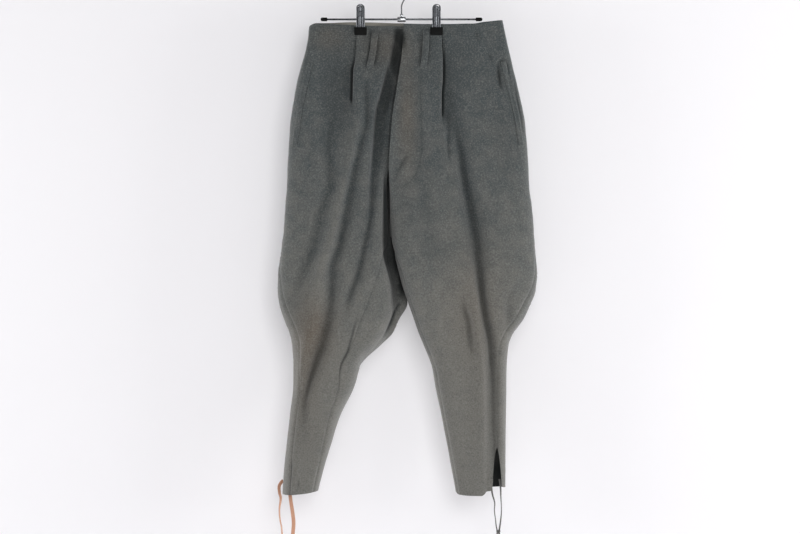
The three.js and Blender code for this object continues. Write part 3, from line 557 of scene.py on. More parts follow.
# Folds: side, face, lap, and a line of (drop, x, depth, left, right). Depth is negative on a ridge, and left
# and right are how wide the fold is on each side. The face is 1 in front and -1 behind. lap is how far the
# upper layer of a pleat lies over the lower one, 0 for no pleat.
folds = [
    (leftSide, 1, 2.4, [  # pleat
        (0, 86, 2, 2.4, 20), (40, 86, 5, 2.4, 20), (75, 86, 6.5, 2.4, 22), (117, 85.5, 7.5, 2.4, 24),
        (150, 83, 8.5, 2.4, 28), (185, 83, 7, 3, 26), (222, 86, 0, 5, 20)]),
    (leftSide, 1, 0, [  # short fold that carries the pleat on
        (176, 89, 0, 6, 9), (205, 95, 6, 7, 9), (262, 97, 5, 5, 6), (305, 100, 0, 5, 6)]),
    (leftSide, 1, 0, [  # main fold
        (120, 102, 0, 10, 14), (200, 111, 6, 13, 16), (264, 123, 10, 12, 13), (327, 131, 13, 11, 14),
        (390, 143, 14, 14, 18), (453, 154, 14, 15, 18), (516, 162, 14, 12, 14), (579, 169, 15, 9, 10),
        (620, 176, 14, 10, 10), (673, 185, 13, 9, 12), (747, 189.5, 11, 12, 12), (830, 190.5, 10, 13, 12),
        (880, 193, 9, 13, 10), (960, 195, 5, 12, 8)]),
    (leftSide, 1, 0, [  # ridge beside it, a pressed crease lower down
        (500, 141, 0, 12, 8), (579, 148, -3, 12, 8), (620, 153, -4, 10, 8), (673, 161, -4.5, 12, 7),
        (747, 168, -5, 18, 7), (870, 169, -5, 20, 7), (985, 169, -4, 22, 7)]),
    (leftSide, 1, 0, [  # short hollow over the knee
        (560, 126, 0, 7, 7), (590, 130, 4, 7, 7), (620, 140, 7, 8, 7), (650, 144, 7, 8, 7),
        (700, 150, 0, 8, 6)]),
    (leftSide, 1, 0, [  # soft hollow beside the fly
        (180, 28, 0, 16, 20), (260, 34, 3, 16, 20), (400, 52, 3, 16, 20), (520, 70, 0, 16, 20)]),
    (rightSide, 1, 2.4, [  # pleat
        (0, -94, 2, 20, 2.4), (34, -95.5, 4.5, 20, 2.4), (70, -96.5, 5.5, 24, 2.4),
        (98, -100.5, 7, 26, 2.4),
        (148, -101.5, 8, 26, 2.4), (186, -102, 0, 22, 4)]),
    (rightSide, 1, 0, [  # hollow where the front falls away beside the fly
        (6, -9, 0, 4, 30), (16, -11, 6, 4, 30), (34, -12, 9, 4.5, 34), (56, -15, 11, 5, 38),
        (75, -20, 12, 5, 42),
        (96, -27, 13, 5, 44), (118, -32, 14, 6, 44), (150, -39, 15, 6, 44), (180, -48, 15, 6, 42),
        (200, -50, 14, 7, 40), (232, -52, 13, 8, 34), (264, -54, 13, 8, 22), (327, -59, 12, 9, 11),
        (390, -62, 11, 11, 10), (453, -73, 9, 10, 9), (516, -87, 9, 10, 11), (579, -109, 6, 9, 9),
        (626, -118, 0, 9, 9)]),
    (rightSide, 1, 0, [  # second fold, from the pleat to the knee and down the calf
        (104, -74, 0, 8, 8), (148, -73, 6, 9, 9), (196, -73, 7, 9, 9), (264, -88, 7, 10, 10),
        (327, -104, 9, 9, 15), (390, -115, 9, 9, 17), (453, -127, 9, 11, 12), (516, -145, 9, 10, 16),
        (579, -146, 9, 12, 13), (620, -152, 10, 14, 14), (660, -162, 11, 16, 14), (704, -178, 13, 11, 15),
        (747, -192, 12, 8, 12), (788, -201, 8, 8, 10), (840, -205, 3, 8, 9), (880, -207, 0, 8, 9)]),
    (rightSide, 1, 0, [  # ridge beside it
        (170, -88, 0, 9, 8), (204, -92, -3, 9, 8), (264, -102, -3, 9, 8), (327, -116, -4, 9, 8),
        (390, -133, -4, 10, 8), (453, -145, -4, 10, 8), (516, -166, -4, 12, 10), (579, -176, -4, 14, 10),
        (641, -189, -5, 14, 8), (704, -205, -6, 12, 7), (747, -213, -5, 10, 8), (820, -223, 0, 10, 8)]),
    (rightSide, 1, 0, [  # soft outer hollow
        (50, -136, 0, 26, 26), (110, -138, 6, 26, 28), (170, -142, 8, 22, 26), (215, -146, 8, 16, 20),
        (264, -150, 7, 13, 15), (327, -147, 8, 13, 18), (390, -164, 8, 12, 18), (453, -177, 8, 14, 14),
        (516, -199, 7, 14, 14), (579, -226, 3, 12, 14), (610, -234, 0, 12, 14)]),
    (leftSide, -1, 0, [
        (30, 74, 0, 20, 16), (130, 80, 8, 20, 16), (300, 100, 10, 22, 16), (470, 132, 10, 18, 16),
        (600, 150, 7, 16, 14), (700, 160, 0, 16, 14)]),
    (leftSide, -1, 0, [
        (240, 20, 0, 16, 18), (340, 34, 8, 14, 16), (450, 60, 10, 13, 16), (560, 92, 7, 13, 15),
        (640, 112, 0, 13, 15)]),
    (leftSide, -1, 0, [
        (600, 196, 0, 14, 16), (680, 150, 9, 12, 13), (740, 120, 7, 12, 13), (800, 108, 0, 12, 13)]),
    (leftSide, -1, 0, [
        (560, 118, 0, 10, 10), (640, 134, -4, 12, 10), (760, 150, -4, 14, 9), (985, 158, -3, 14, 9)]),
    (rightSide, -1, 0, [
        (30, -86, 0, 16, 20), (130, -92, 8, 16, 20), (300, -112, 10, 15, 20), (450, -136, 10, 14, 18),
        (580, -160, 8, 14, 16), (680, -172, 0, 14, 16)]),
    (rightSide, -1, 0, [
        (250, -44, 0, 18, 14), (350, -58, 7, 16, 13), (460, -82, 9, 15, 12), (560, -104, 7, 14, 12),
        (640, -122, 0, 14, 12)]),
    (rightSide, -1, 0, [
        (610, -214, 0, 16, 14), (680, -176, 9, 13, 12), (740, -150, 8, 13, 12), (800, -140, 0, 13, 12)]),
    (rightSide, -1, 0, [
        (560, -140, 0, 10, 12), (640, -160, -4, 10, 12), (760, -178, -4, 9, 14), (985, -208, -3, 9, 14)]),
]

# The rise: from the fly's end to the fork the left front stands over the right one and makes a step.
# Each row is (drop, depth, reach on the right front)
riseStep = [(290, 0, 8), (345, 8, 9), (400, 11, 11), (448, 12, 13), (475, 11, 10), (510, 8, 7), (560, 6, 6),
            (620, 0, 5)]
riseEdge = 2.4  # how far the step reaches on the left front


# Creases: side, face, depth, width, dark, and a line of (x, drop). They are soft troughs, or ridges where
# the depth is negative. dark is how much of their bottom stays in shadow, and face 0 is the cloth that turns
# from front to back.
creases = [
    # under the fly's end
    (leftSide, 1, -1.6, 5, 0, [(24, 262), (15, 284), (3, 306), (-12, 330)]),
    (leftSide, 1, 3, 4, 0.35, [(14, 268), (8, 284), (-4, 304), (-16, 334)]),
    (leftSide, 1, 1.2, 3.2, 0.3,
     [(39, 60), (40, 170), (42, 240), (42, 274), (36, 296), (30, 316), (10, 338), (-20, 347)]),
    # beside the pocket that shows: its mouth, the welt's two edges and the outseam
    (leftSide, 1, 3.5, 4.5, 0.8, [(203, 86), (203, 104), (205, 124), (209, 142)]),
    (leftSide, 1, 1.6, 3, 0.65, [(201, 93), (208, 84), (219, 78)]),
    (leftSide, 1, 2, 3, 1, [(219, 80), (221, 98), (223, 118), (229, 144)]),
    (leftSide, 1, 1.4, 2.8, 0.8, [(225, 122), (231, 158), (238, 196), (250, 238)]),
    (leftSide, 1, 1, 2.4, 0.65, [(234, 108), (241, 156), (250, 200), (256, 236)]),
    (leftSide, 1, 1.8, 4, 0.35, [(155, 14), (158, 26), (162, 38)]),
    (leftSide, 1, 1.8, 4, 0.35, [(180, 64), (186, 74), (190, 84)]),
    # beside the belt loops
    (rightSide, 1, 1.6, 3.4, 1, [(-64, 6), (-65.5, 40), (-68.5, 68), (-75, 96)]),
    (rightSide, 1, 1, 2.6, 0.45, [(-47, 16), (-50, 44), (-54, 70), (-59, 92)]),
    (leftSide, 1, 1, 2.6, 0.45, [(45, 6), (44, 40), (41, 66), (37, 92)]),
    (leftSide, 1, 1.2, 2.8, 0.55, [(60, 18), (58.5, 40), (56, 62), (52, 88)]),
    # at the knees
    (leftSide, 1, 4, 10, 0, [(223, 555), (224, 600), (220, 648)]),
    (rightSide, 1, 4, 9, 0, [(-70, 677), (-78, 705), (-87, 722)]),
    (rightSide, 1, -2, 9, 0, [(-40, 500), (-74, 552), (-104, 596)]),
    # the inner leg's seam, pressed in above the knee
    (rightSide, 1, 1.2, 2.6, 0.6, [(-92, 610), (-100, 641), (-111, 682), (-125, 710), (-130, 740)]),
    # the inner thigh's turned edge
    (rightSide, 0, 1.8, 3.4, 1, [(-3, 578), (-6, 588), (-14, 604), (-22, 624), (-30.5, 644), (-38, 658)]),
    # along the ankle that is closed
    (rightSide, 1, 0.8, 2.4, 0.3, [(-227, 910), (-229, 935), (-229, 960)]),
    (rightSide, 1, 0.8, 2.4, 0.3, [(-214, 950), (-215, 975)]),
    # behind: drags from the seat, the knees and the waist
    (leftSide, -1, 2.4, 7, 0, [(8, 300), (30, 352), (62, 392)]),
    (leftSide, -1, 2, 6, 0, [(2, 360), (22, 400), (44, 430)]),
    (leftSide, -1, 2.6, 8, 0, [(210, 560), (190, 600), (178, 640)]),
    (leftSide, -1, 1.8, 5, 0, [(130, 20), (134, 60), (132, 96)]),
    (leftSide, -1, 2, 6, 0, [(176, 700), (160, 726), (140, 744)]),
    (rightSide, -1, 2.4, 7, 0, [(-38, 310), (-60, 360), (-88, 398)]),
    (rightSide, -1, 2, 6, 0, [(-32, 372), (-54, 414), (-76, 440)]),
    (rightSide, -1, 2.6, 8, 0, [(-236, 540), (-216, 590), (-200, 636)]),
    (rightSide, -1, 1.8, 5, 0, [(-140, 18), (-143, 54), (-140, 90)]),
    (rightSide, -1, 2, 6, 0, [(-204, 700), (-190, 728), (-172, 748)]),
]


def arch(q, power):
    rest = 1 - np.clip(q, 0, 1)
    return (1 - rest * rest) ** power


def clipRelease(side, x, drop):
    # how much the clips let the two layers part: 0 in a clip, 1 away from it
    away = smooth(*form["clipHold"], np.abs(x - side["clipX"]))
    return away + (1 - away) * smooth(*form["clipFade"], drop)


def loopPoint(side, g, drop):
    # a point of the loop that a side makes at one drop: g runs 0 to 1 over the front, 1 to 2 over the rear
    at = {name: side[name](drop) for name in outlineColumns[1:]}
    shift = side["sign"] * form["seamGap"] / 2
    touch = side["sign"] * (form["seamGap"] + form["touch"] * bell(drop - form["fork"], form["touchReach"]))
    inner, lobe = at["inner"] + shift, at["lobe"] + shift - touch
    closed = drop >= form["fork"]
    turn = np.where(closed, np.mod(g, 2), g)
    onFront = turn <= 1
    share = np.where(onFront, turn, 2 - turn)
    half = np.where(onFront, at["front"], at["back"])
    edge = np.where(onFront, at["fly"], at["seat"])
    width = np.abs(at["outer"] - inner)
    inTurn = arch(share * width / at["inRound"], at["soft"])
    depth = (edge + (half - edge) * inTurn) * arch((1 - share) * width / at["outRound"], 0.5)
    turned = form["turnDepth"]
    behind = np.where(onFront, 0.5 * smooth(turned, 0, depth), 0.5 + 0.5 * smooth(0, turned, depth))
    reach = np.where(closed, behind, np.where(onFront, 0, 1))
    innerX = inner + (lobe - inner) * reach
    x = innerX + (at["outer"] - innerX) * share
    x = x + side["sign"] * at["notch"] * bell(depth, form["notchDepth"]) * (share < 0.5)
    pressed = form["pressed"]
    depth = np.where(depth > pressed, pressed + (depth - pressed) * clipRelease(side, x, drop), depth)
    return {"x": x, "y": np.where(onFront, -depth, depth), "front": onFront, "share": share, "width": width}


# Where a pleat's cloth moves over, where it moves under and where it is dark: how far from its line, and how
# wide. Then the depths at which the lap and the dark slit are full.
pleatLook = {"over": (-1.8, 2.0), "under": (2.2, 2.4), "slit": (3.5, 3.6), "lapDepth": 4, "slitDepth": 6.2}
# how far from the edges the folds fade, and from which drop they do at the fly's end
foldFade = {"inner": 20, "outer": 24, "waist": 22, "aboveWaist": 6, "fly": 290}


def foldSink(side, place, drop):
    # how far the folds sink the cloth, and how far a pleat's lap moves it sideways
    look, fade = pleatLook, foldFade
    sunk, aside = np.zeros_like(drop), np.zeros_like(drop)
    for owner, face, lap, line in folds:
        if owner is not side:
            continue
        drops, xs, depths, lefts, rights = zip(*line)
        depth = np.where((drop < drops[0]) | (drop > drops[-1]), 0, curveThrough(drops, depths)(drop))
        depth = depth * (place["front"] == (face == 1))
        away = place["x"] - curveThrough(drops, xs)(drop)
        left, right = curveThrough(drops, lefts)(drop), curveThrough(drops, rights)(drop)
        sunk += depth * bell(away, np.where(away < 0, left, right))
        if lap:
            toSide = 1 if lefts[0] < rights[0] else -1
            over, under, slit = (bell(away * toSide - look[name][0], look[name][1])
                                 for name in ("over", "under", "slit"))
            aside += toSide * lap * np.clip(depth / look["lapDepth"], 0, 1) * (over - under)
            # the pleat's opening is painted dark, as shade
            place["slit"] = place["slit"] + slit * np.clip(depth / look["slitDepth"], 0, 1.1) ** 3
    fromInner, fromOuter = place["share"] * place["width"], (1 - place["share"]) * place["width"]
    flyLet = (place["front"] & (side is rightSide)) * (1 - smooth(fade["fly"], form["flyEnd"], drop))
    inFade = np.maximum(smooth(0, fade["inner"], fromInner), flyLet * 0.5)
    atWaist = smooth(0, fade["waist"], drop + fade["aboveWaist"])
    return sunk * inFade * smooth(0, fade["outer"], fromOuter) * atWaist, aside


def riseSink(side, place, drop, facing):
    # how far the step at the rise sinks the cloth, where it faces forwards
    drops, depths, reaches = zip(*riseStep)
    depth = curveThrough(drops, depths)(drop) * place["front"]
    fromInner = place["share"] * place["width"]
    reach = curveThrough(drops, reaches)(drop)
    near = bell(fromInner, riseEdge) if side is leftSide else 1 - smooth(0.6, 1.3, fromInner / reach)
    # painted shade along the step, stronger on the right front
    dark = 0.9 if side is rightSide else 0.5
    place["slit"] = np.maximum(place["slit"], near * np.clip(depth / 9, 0, 1) * dark)
    return depth * near * np.abs(facing) ** 3


turnedCloth = (38, 28)  # how far to the front or the back a crease on the turned cloth ends and is full


def creaseSink(side, place, drop):
    # how far the creases sink the cloth
    sunk = np.zeros_like(drop)
    for owner, face, depth, width, dark, line in creases:
        if owner is not side:
            continue
        line = np.array(line, float)
        best = np.full(drop.shape, 1e9)
        taper = np.zeros_like(drop)
        for k in range(len(line) - 1):
            a, step = line[k], line[k + 1] - line[k]
            t = np.clip(((place["x"] - a[0]) * step[0] + (drop - a[1]) * step[1]) / (step @ step), 0, 1)
            far = np.hypot(place["x"] - a[0] - t * step[0], drop - a[1] - t * step[1])
            along = (k + t) / (len(line) - 1)
            taper = np.where(far < best, np.sin(np.pi * along) ** 0.6, taper)
            best = np.minimum(far, best)
        onFace = place["front"] == (face == 1) if face else smooth(*turnedCloth, np.abs(place["y"]))
        near = taper * bell(best, width) * onFace
        sunk += depth * near
        # painted shadow in the crease's bottom
        place["slit"] = np.maximum(place["slit"], dark * near)
    return sunk


seamLook = {"groove": 1.3, "width": 2.2, "pucker": 0.5, "puckerLength": 11}
# size, height and seed of the cloth's small unevenness
rippleLook = [(46, 0.9, 3), (19, 0.35, 5), (8, 0.14, 8)]


def surface(side, g, drop):
    # outer points of the cloth and their outward directions, for arrays of turns and drops
    g, drop = np.broadcast_arrays(np.asarray(g, float), np.asarray(drop, float))
    place = loopPoint(side, g, drop)
    step = 0.004
    closed = drop >= form["fork"]
    low = loopPoint(side, np.where(closed, g - step, np.maximum(0, g - step)), drop)
    high = loopPoint(side, np.where(closed, g + step, np.minimum(2, g + step)), drop)
    normal = np.stack([high["y"] - low["y"], low["x"] - high["x"], np.zeros_like(drop)], axis=-1)
    normal = unit(normal * side["sign"])
    # slit collects the painted shade of pleat slits, creases and the rise step
    place["slit"] = np.zeros_like(drop)
    sunk, aside = foldSink(side, place, drop)
    sunk = sunk + riseSink(side, place, drop, normal[..., 1])
    sunk = sunk + creaseSink(side, place, drop) * smooth(0, 14, (1 - place["share"]) * place["width"])
    free = clipRelease(side, place["x"], drop) * smooth(0, 40, drop + 10)
    for size, height, seed in rippleLook:
        across = place["x"] + np.where(place["front"], 0, 900) + 500 * (side["sign"] + 1)
        sunk = sunk + height * free * softNoise(across + 2000, drop * 0.6 + 1000, size, seed)
    for seam in ("outseam", "inseam"):
        turn = side[seam](drop)
        gap = np.mod(g - turn + 1, 2) - 1
        present = smooth(form["fork"] - 4, form["fork"] + 6, drop) if seam == "inseam" else 1
        wave = 1 + seamLook["pucker"] * softNoise(drop + 300, drop * 0 + 7, seamLook["puckerLength"], 11)
        sunk = sunk + present * seamLook["groove"] * wave * bell(gap * place["width"], seamLook["width"])
    point = np.stack([place["x"] + aside, place["y"], np.zeros_like(drop)], axis=-1)
    point = point - normal * sunk[..., None]
    least = form["pressed"]
    fromInner, fromOuter = place["share"] * place["width"], (1 - place["share"]) * place["width"]
    innerRoom, outerRoom = form["pressedFrom"]
    torso = (drop < form["fork"]) & (fromInner >= innerRoom) & (fromOuter >= outerRoom)
    kept = np.where(place["front"], np.minimum(point[..., 1], -least), np.maximum(point[..., 1], least))
    point[..., 1] = np.where(torso, kept, point[..., 1])
    nearHem = smooth(form["length"] - form["hemReach"], form["length"], drop)
    hemShift = (side["hem"](np.mod(g, 2)) - form["length"]) * nearHem
    lift = side["edgeLift"](place["x"]) + np.where(place["front"], 0, side["backLift"](place["x"]))
    lift = lift * (1 - smooth(0, form["edgeReach"], drop))
    point[..., 2] = form["waistZ"] - drop - hemShift + lift
    place["sunk"] = sunk
    return point, normal, place


# How much closer together a panel's columns lie where the cloth bends and at a pleat, which ends by a drop
columnLook = {"steps": 260, "bend": 20, "mostBend": 0.5, "pleat": 3.5, "pleatReach": 7,
              "pleatEnd": (200, 320)}


def columnTurns(side, drops, starts, ends, count):
    # turns of the columns of a panel for every row
    look = columnLook
    part = np.linspace(0, 1, look["steps"] + 1)[None, :]
    g = starts[:, None] + (ends - starts)[:, None] * part
    drop = np.broadcast_to(drops[:, None], g.shape)
    place = loopPoint(side, g, drop)
    dx, dy = np.diff(place["x"], axis=1), np.diff(place["y"], axis=1)
    heading = np.unwrap(np.arctan2(dy, dx), axis=1)
    bend = np.abs(np.diff(heading, axis=1, prepend=heading[:, :1]))
    weight = np.hypot(dx, dy) + look["bend"] * np.minimum(bend, look["mostBend"])
    for owner, _, lap, line in folds:
        if owner is side and lap:
            x = curveThrough([row[0] for row in line], [row[1] for row in line])(drop[:, 1:])
            near = bell(place["x"][:, 1:] - x, look["pleatReach"])
            near = near * (1 - smooth(*look["pleatEnd"], drop[:, 1:])) * place["front"][:, 1:]
            weight = weight * (1 + look["pleat"] * near)
    total = np.concatenate([np.zeros((len(drops), 1)), np.cumsum(weight, axis=1)], axis=1)
    turns = [np.interp(np.linspace(0, row[-1], count), row, g[k]) for k, row in enumerate(total)]
    return np.array(turns)


# Wear marks on the cloth: centre x and z, reach across and down, and how strong fading and soil are
wearMarks = [
    (-200, -800, 26, 110, 0.5, 0.35),
    (-172, -745, 34, 60, 0.1, 0.55),
    (150, -700, 60, 110, 0.35, 0.3),
    (160, -900, 55, 150, 0.45, 0.1),
    (-205, -900, 45, 140, 0.4, 0.1),
    (12, -300, 20, 110, 0.2, 0.4),
    (-30, -150, 60, 40, 0.1, 0.35),
    (-150, -130, 40, 30, 0.05, 0.3),
]
fadeByDrop = curveThrough([0, 120, 330, 520, 700, 985], [0.0, 0.05, 0.3, 0.55, 0.85, 0.95])
# Painted shade darkens the wool in hollows and inside the garment; painted light pales it on ridges
hollowLook = {"depth": 12, "dark": 0.44, "pale": 0.22, "inside": 0.45, "hemFrom": 880, "hemTo": 950,
              "hemInside": 0.5, "wearBehind": 8}

# Painted shade: places painted dark where shade falls: centre x and z, reach across and down, how strong,
# and from and to which y on the cloth's right side
paintedShadeMarks = [
    (-12, -560, 14, 100, 0.97, -10, 22),     # between the legs
    (1, -640, 10, 44, 0.95, -10, 22),
    (-6, -119, 11, 10, 0.9, -12, 0),         # inside the fly
    (-6, -131, 13, 22, 0.85, -12, 0),
    (0, -142, 10, 30, 0.95, -12, 0),
    (-10, -178, 16, 52, 0.85, -12, 0),
    (-30, -250, 26, 70, 0.62, -12, 0),
    (224, -350, 34, 90, 0.12, -200, 0),      # the hip below the pocket
    (-132, -255, 36, 115, 0.28, -200, 0),    # the hip beside the pleat
    (-213, -700, 28, 50, 0.16, -200, 0),     # the knee
    (44, -124, 90, 20, 0.08, -200, 0),       # under the waist's edge
]


def paintWearAndShade(piece, points, drops, sunk=None, slit=0, facing=None):
    # stores fade with painted light on ridges, soil, painted shade and facing for each point, which the wool
    # reads
    x, y, z = points[:, 0], points[:, 1], points[:, 2]
    fade, soil = fadeByDrop(drops), np.zeros(len(x))
    sunk = np.zeros(len(x)) if sunk is None else sunk / hollowLook["depth"]
    # painted shade in hollows and along slits, creases and the rise step
    paintedShade = np.maximum(hollowLook["dark"] * np.clip(sunk, 0, 1.2), 0.95 * slit)
    nearHem = smooth(hollowLook["hemFrom"], hollowLook["hemTo"], drops)
    # painted shade on the cloth's inner side, stronger towards the hem
    inside = np.maximum(paintedShade, hollowLook["inside"] + hollowLook["hemInside"] * nearHem)
    for middle, height, across, down, dark, fromY, toY in paintedShadeMarks:
        near = np.exp(-(((x - middle) / across) ** 2 + ((z - height) / down) ** 2) ** 2)
        near = near * dark * smooth(-2, 2, y - fromY)
        paintedShade = np.maximum(paintedShade, near * smooth(2, -2, y - toY))
        inside = np.maximum(inside, near)
    # painted light: ridges get paler; painted shade: hollows keep less of the faded colour
    fade = fade + hollowLook["pale"] * np.clip(-3 * sunk, 0, 1) - 0.3 * np.clip(sunk, 0, 1)
    for middle, height, across, down, faded, soiled in wearMarks:
        near = np.exp(-(((x - middle) / across) ** 2 + ((z - height) / down) ** 2))
        near = near * (y < hollowLook["wearBehind"])
        fade = fade + faded * near
        soil = soil + soiled * near
    layer = piece.data.color_attributes.new(name="wearAndShade", type="FLOAT_COLOR", domain="POINT")
    values = np.stack([np.clip(part, 0, 1) for part in (fade, soil, paintedShade)] + [np.zeros(len(x))], axis=1)
    inner = values.copy()
    if facing is not None:
        inner[:, 2] = np.clip(inside, 0, 1)
        inner[:, 3] = facing
    layer.data.foreach_set("color", np.concatenate([values, inner]).ravel().astype(np.float32))


panels = {
    "front_left": {"side": leftSide, "part": "front", "columns": 110, "flat": (345, 1010)},
    "front_right": {"side": rightSide, "part": "front", "columns": 104, "flat": (280, 1010)},
    "back_left": {"side": leftSide, "part": "back", "columns": 84, "flat": (372, 1010)},
    "back_right": {"side": rightSide, "part": "back", "columns": 88, "flat": (438, 1010)},
}
panelRows = 290


def panelLimits(side, part, drops):
    outseam = side["outseam"](drops)
    inseam = np.where(drops <= form["fork"], 0, side["inseam"](drops))
    width = np.abs(side["outer"](drops) - side["inner"](drops))
    slit = np.clip((drops - form["slitTop"]) / (form["length"] - form["slitTop"]), 0, 1) ** 0.6
    if part == "front":
        return inseam, outseam - side["slit"][0] * slit / width
    return outseam + side["slit"][1] * slit / width, 2 + inseam


def makePanel(name, panel):
    side, part = panel["side"], panel["part"]
    upper = int(panelRows * form["fork"] / form["length"])
    drops = np.concatenate([np.linspace(0, form["fork"], upper, endpoint=False),
                            np.linspace(form["fork"], form["length"], panelRows - upper)])
    starts, ends = panelLimits(side, part, drops)
    turns = columnTurns(side, drops, starts, ends, panel["columns"])
    outer, normal, place = surface(side, turns, drops[:, None])
    for k, n in ((0, 1), (-1, -2)):
        along = outer[:, n] - outer[:, k]
        along[:, 2] = 0
        outer[:, k] += unit(along) * form["seamGap"] / 2
    inner = outer - normal * form["cloth"]
    bound = form["seamGap"] / 2
    torso = np.broadcast_to((drops < form["fork"])[:, None], inner.shape[:2])
    kept = np.minimum(inner[..., 1], -bound) if part == "front" else np.maximum(inner[..., 1], bound)
    inner[..., 1] = np.where(torso, kept, inner[..., 1])
    across = np.cumsum(np.linalg.norm(np.diff(outer, axis=1, prepend=outer[:, :1]), axis=2), axis=1)
    uv = np.stack([across, np.broadcast_to(-drops[:, None], across.shape)], axis=2)
    piece = wallPiece(name, outer, inner, uv)
    allDrops = np.repeat(drops, panel["columns"])
    paintWearAndShade(piece, outer.reshape(-1, 3), allDrops, place["sunk"].ravel(), place["slit"].ravel(),
              1 - smooth(30, 31, allDrops))
    keepPiece(piece, melton, [name])


for name, panel in panels.items():
    makePanel(name, panel)
print("panels made")


# Small cloth pieces that lie on the panels

stripGap = 0.45  # between a panel and a strip that lies on it


def stripPiece(name, side, face, line, width, thick, lift, rows, columns, nodes):
    # a strip along a line of (drop, x): lift(along, across) is its height over the panel
    drops, xs = zip(*line)
    middle = curveThrough(drops, xs)
    along = np.linspace(0, 1, rows)[:, None]
    u = np.linspace(-1, 1, columns)[None, :]
    drop = np.broadcast_to(drops[0] + (drops[-1] - drops[0]) * along, (rows, columns))
    x = middle(drop) + width / 2 * u
    inner = side["inner"](drop) + side["sign"] * form["seamGap"] / 2
    share = (x - inner) / (side["outer"](drop) - inner)
    point, normal, _ = surface(side, share if face == 1 else 2 - share, drop)
    base = stripGap + lift(along, u)
    height = thick * (1 - 0.5 * np.abs(u) ** 8) * (1 - 0.5 * np.abs(2 * along - 1) ** 30)
    under = point + normal * base[..., None]
    over = point + normal * (base + height)[..., None]
    uv = np.stack([np.broadcast_to(width / 2 * u, x.shape), -drop], axis=2)
    piece = wallPiece(name, over, under, uv, 50)
    paintWearAndShade(piece, over.reshape(-1, 3), drop.ravel())
    return keepPiece(piece, melton, nodes)


beltLoops = {
    "front_left": {"side": leftSide, "face": 1, "line": [(12, 52), (55, 50), (90, 46)]},
    "front_right": {"side": rightSide, "face": 1, "line": [(14, -55), (55, -60), (90, -67)]},
    "back_left": {"side": leftSide, "face": -1, "line": [(12, 108), (90, 108)]},
    "back_right": {"side": rightSide, "face": -1, "line": [(12, -118), (90, -118)]},
}
loopLook = {"width": 14, "length": 80, "thick": 2.2, "standOff": 3.2}


def makeBeltLoops():
    def bridge(along, across):
        rise = smooth(0, 0.18, along) * smooth(1, 0.82, along)
        return loopLook["standOff"] * rise + 0.25 * (1 - across**2)

    for place, loop in beltLoops.items():
        piece = stripPiece("beltLoop_" + place, loop["side"], loop["face"], loop["line"], loopLook["width"],
                           loopLook["thick"], bridge, 44, 13, ["belt_loop_" + place])


pockets = {
    "left": {"side": leftSide, "line": [(84, 213), (130, 224), (180, 237), (256, 250)]},
    "right": {"side": rightSide, "line": [(84, -192), (130, -202), (180, -212), (256, -224)]},
}
weltLook = {"width": 11, "length": 180, "thick": 1.6}


def makeWelts():
    def flat(along, across):
        return 0.1 + 0.25 * (1 - across**2) + 0 * along

    for place, pocket in pockets.items():
        piece = stripPiece("pocketWelt_" + place, pocket["side"], 1, pocket["line"], weltLook["width"],
                           weltLook["thick"], flat, 60, 9, ["pocket_welt_" + place])


underlapLook = {"width": 28, "narrow": 0.45, "narrowFrom": 190, "start": 6, "end": 300, "behind": 0.8,
                "flat": (30, 295)}


def makeUnderlap():
    # the button catch: from the right front's edge it runs on behind the left front
    rows, columns = 70, 14
    look = underlapLook
    drop = np.broadcast_to(np.linspace(look["start"], look["end"], rows)[:, None], (rows, columns))
    start, _, _ = surface(rightSide, np.zeros_like(drop), drop)
    width = look["width"] * (1 - look["narrow"] * smooth(look["narrowFrom"], look["end"], drop))
    x = start[..., 0] + stripGap + width * np.linspace(0, 1, columns)[None, :]
    inner = leftSide["inner"](drop)
    over, _, _ = surface(leftSide, np.maximum(0, (x - inner) / (leftSide["outer"](drop) - inner)), drop)
    y = np.maximum(start[..., 1], over[..., 1] + form["cloth"] + look["behind"])
    outer = np.stack([x, y, form["waistZ"] - drop], axis=2)
    inner = outer + np.array([0, form["cloth"], 0])
    uv = np.stack([x, -drop], axis=2)
    piece = wallPiece("flyUnderlap", outer, inner, uv)
    paintWearAndShade(piece, outer.reshape(-1, 3), drop.ravel())
    keepPiece(piece, melton, ["fly_underlap"])


makeBeltLoops()
makeWelts()
makeUnderlap()
print("loops, welts and underlap made")


# Stitching: one capsule of thread for each stitch, joined into one piece for each seam

stitchLook = {"length": 2.6, "pitch": 3.6, "thick": 0.42}


def stitchPiece(name, points, normals):
    points, normals = np.asarray(points), np.asarray(normals)
    run = runAlong(points)
    count = int(run[-1] / stitchLook["pitch"])
    start = (np.arange(count) + 0.5) * stitchLook["pitch"] - stitchLook["length"] / 2
    rings, sides = np.array([0, 0.12, 0.5, 0.88, 1]), 6
    bulge = np.array([0.35, 0.9, 1, 0.9, 0.35]) * stitchLook["thick"]
    sink = np.array([-0.5, 0.1, 0.3, 0.1, -0.5]) * stitchLook["thick"]
    at = start[:, None] + rings[None] * stitchLook["length"]
    centre, out = readAlong(points, run, at), readAlong(normals, run, at)
    forward = unit(readAlong(points, run, at + 0.3) - readAlong(points, run, at - 0.3))
    across = unit(np.cross(forward, out))
    turn = np.linspace(0, 2 * np.pi, sides, endpoint=False)
    centre = centre + out * sink[None, :, None]
    around = np.cos(turn)[:, None] * across[:, :, None] + np.sin(turn)[:, None] * out[:, :, None]
    allPoints = (centre[:, :, None] + bulge[None, :, None, None] * around).reshape(-1, 3)
    faces = []
    for k in range(count):
        first = k * len(rings) * sides
        for r in range(len(rings) - 1):
            for c in range(sides):
                a, b = first + r * sides + c, first + r * sides + (c + 1) % sides
                faces.append([a, b, b + sides, a + sides])
        faces.append([first + c for c in range(sides)][::-1])
        last = first + (len(rings) - 1) * sides
        faces.append([last + c for c in range(sides)])
    one = (len(rings) - 1) * sides + 2
    if signedVolume(allPoints, [face for face in faces[:one] if len(face) == 4]) < 0:
        faces = [face[::-1] for face in faces]
    uv = np.zeros((len(allPoints), 2))
    return keepPiece(meshPiece(name, allPoints, faces, uv, 60), thread)


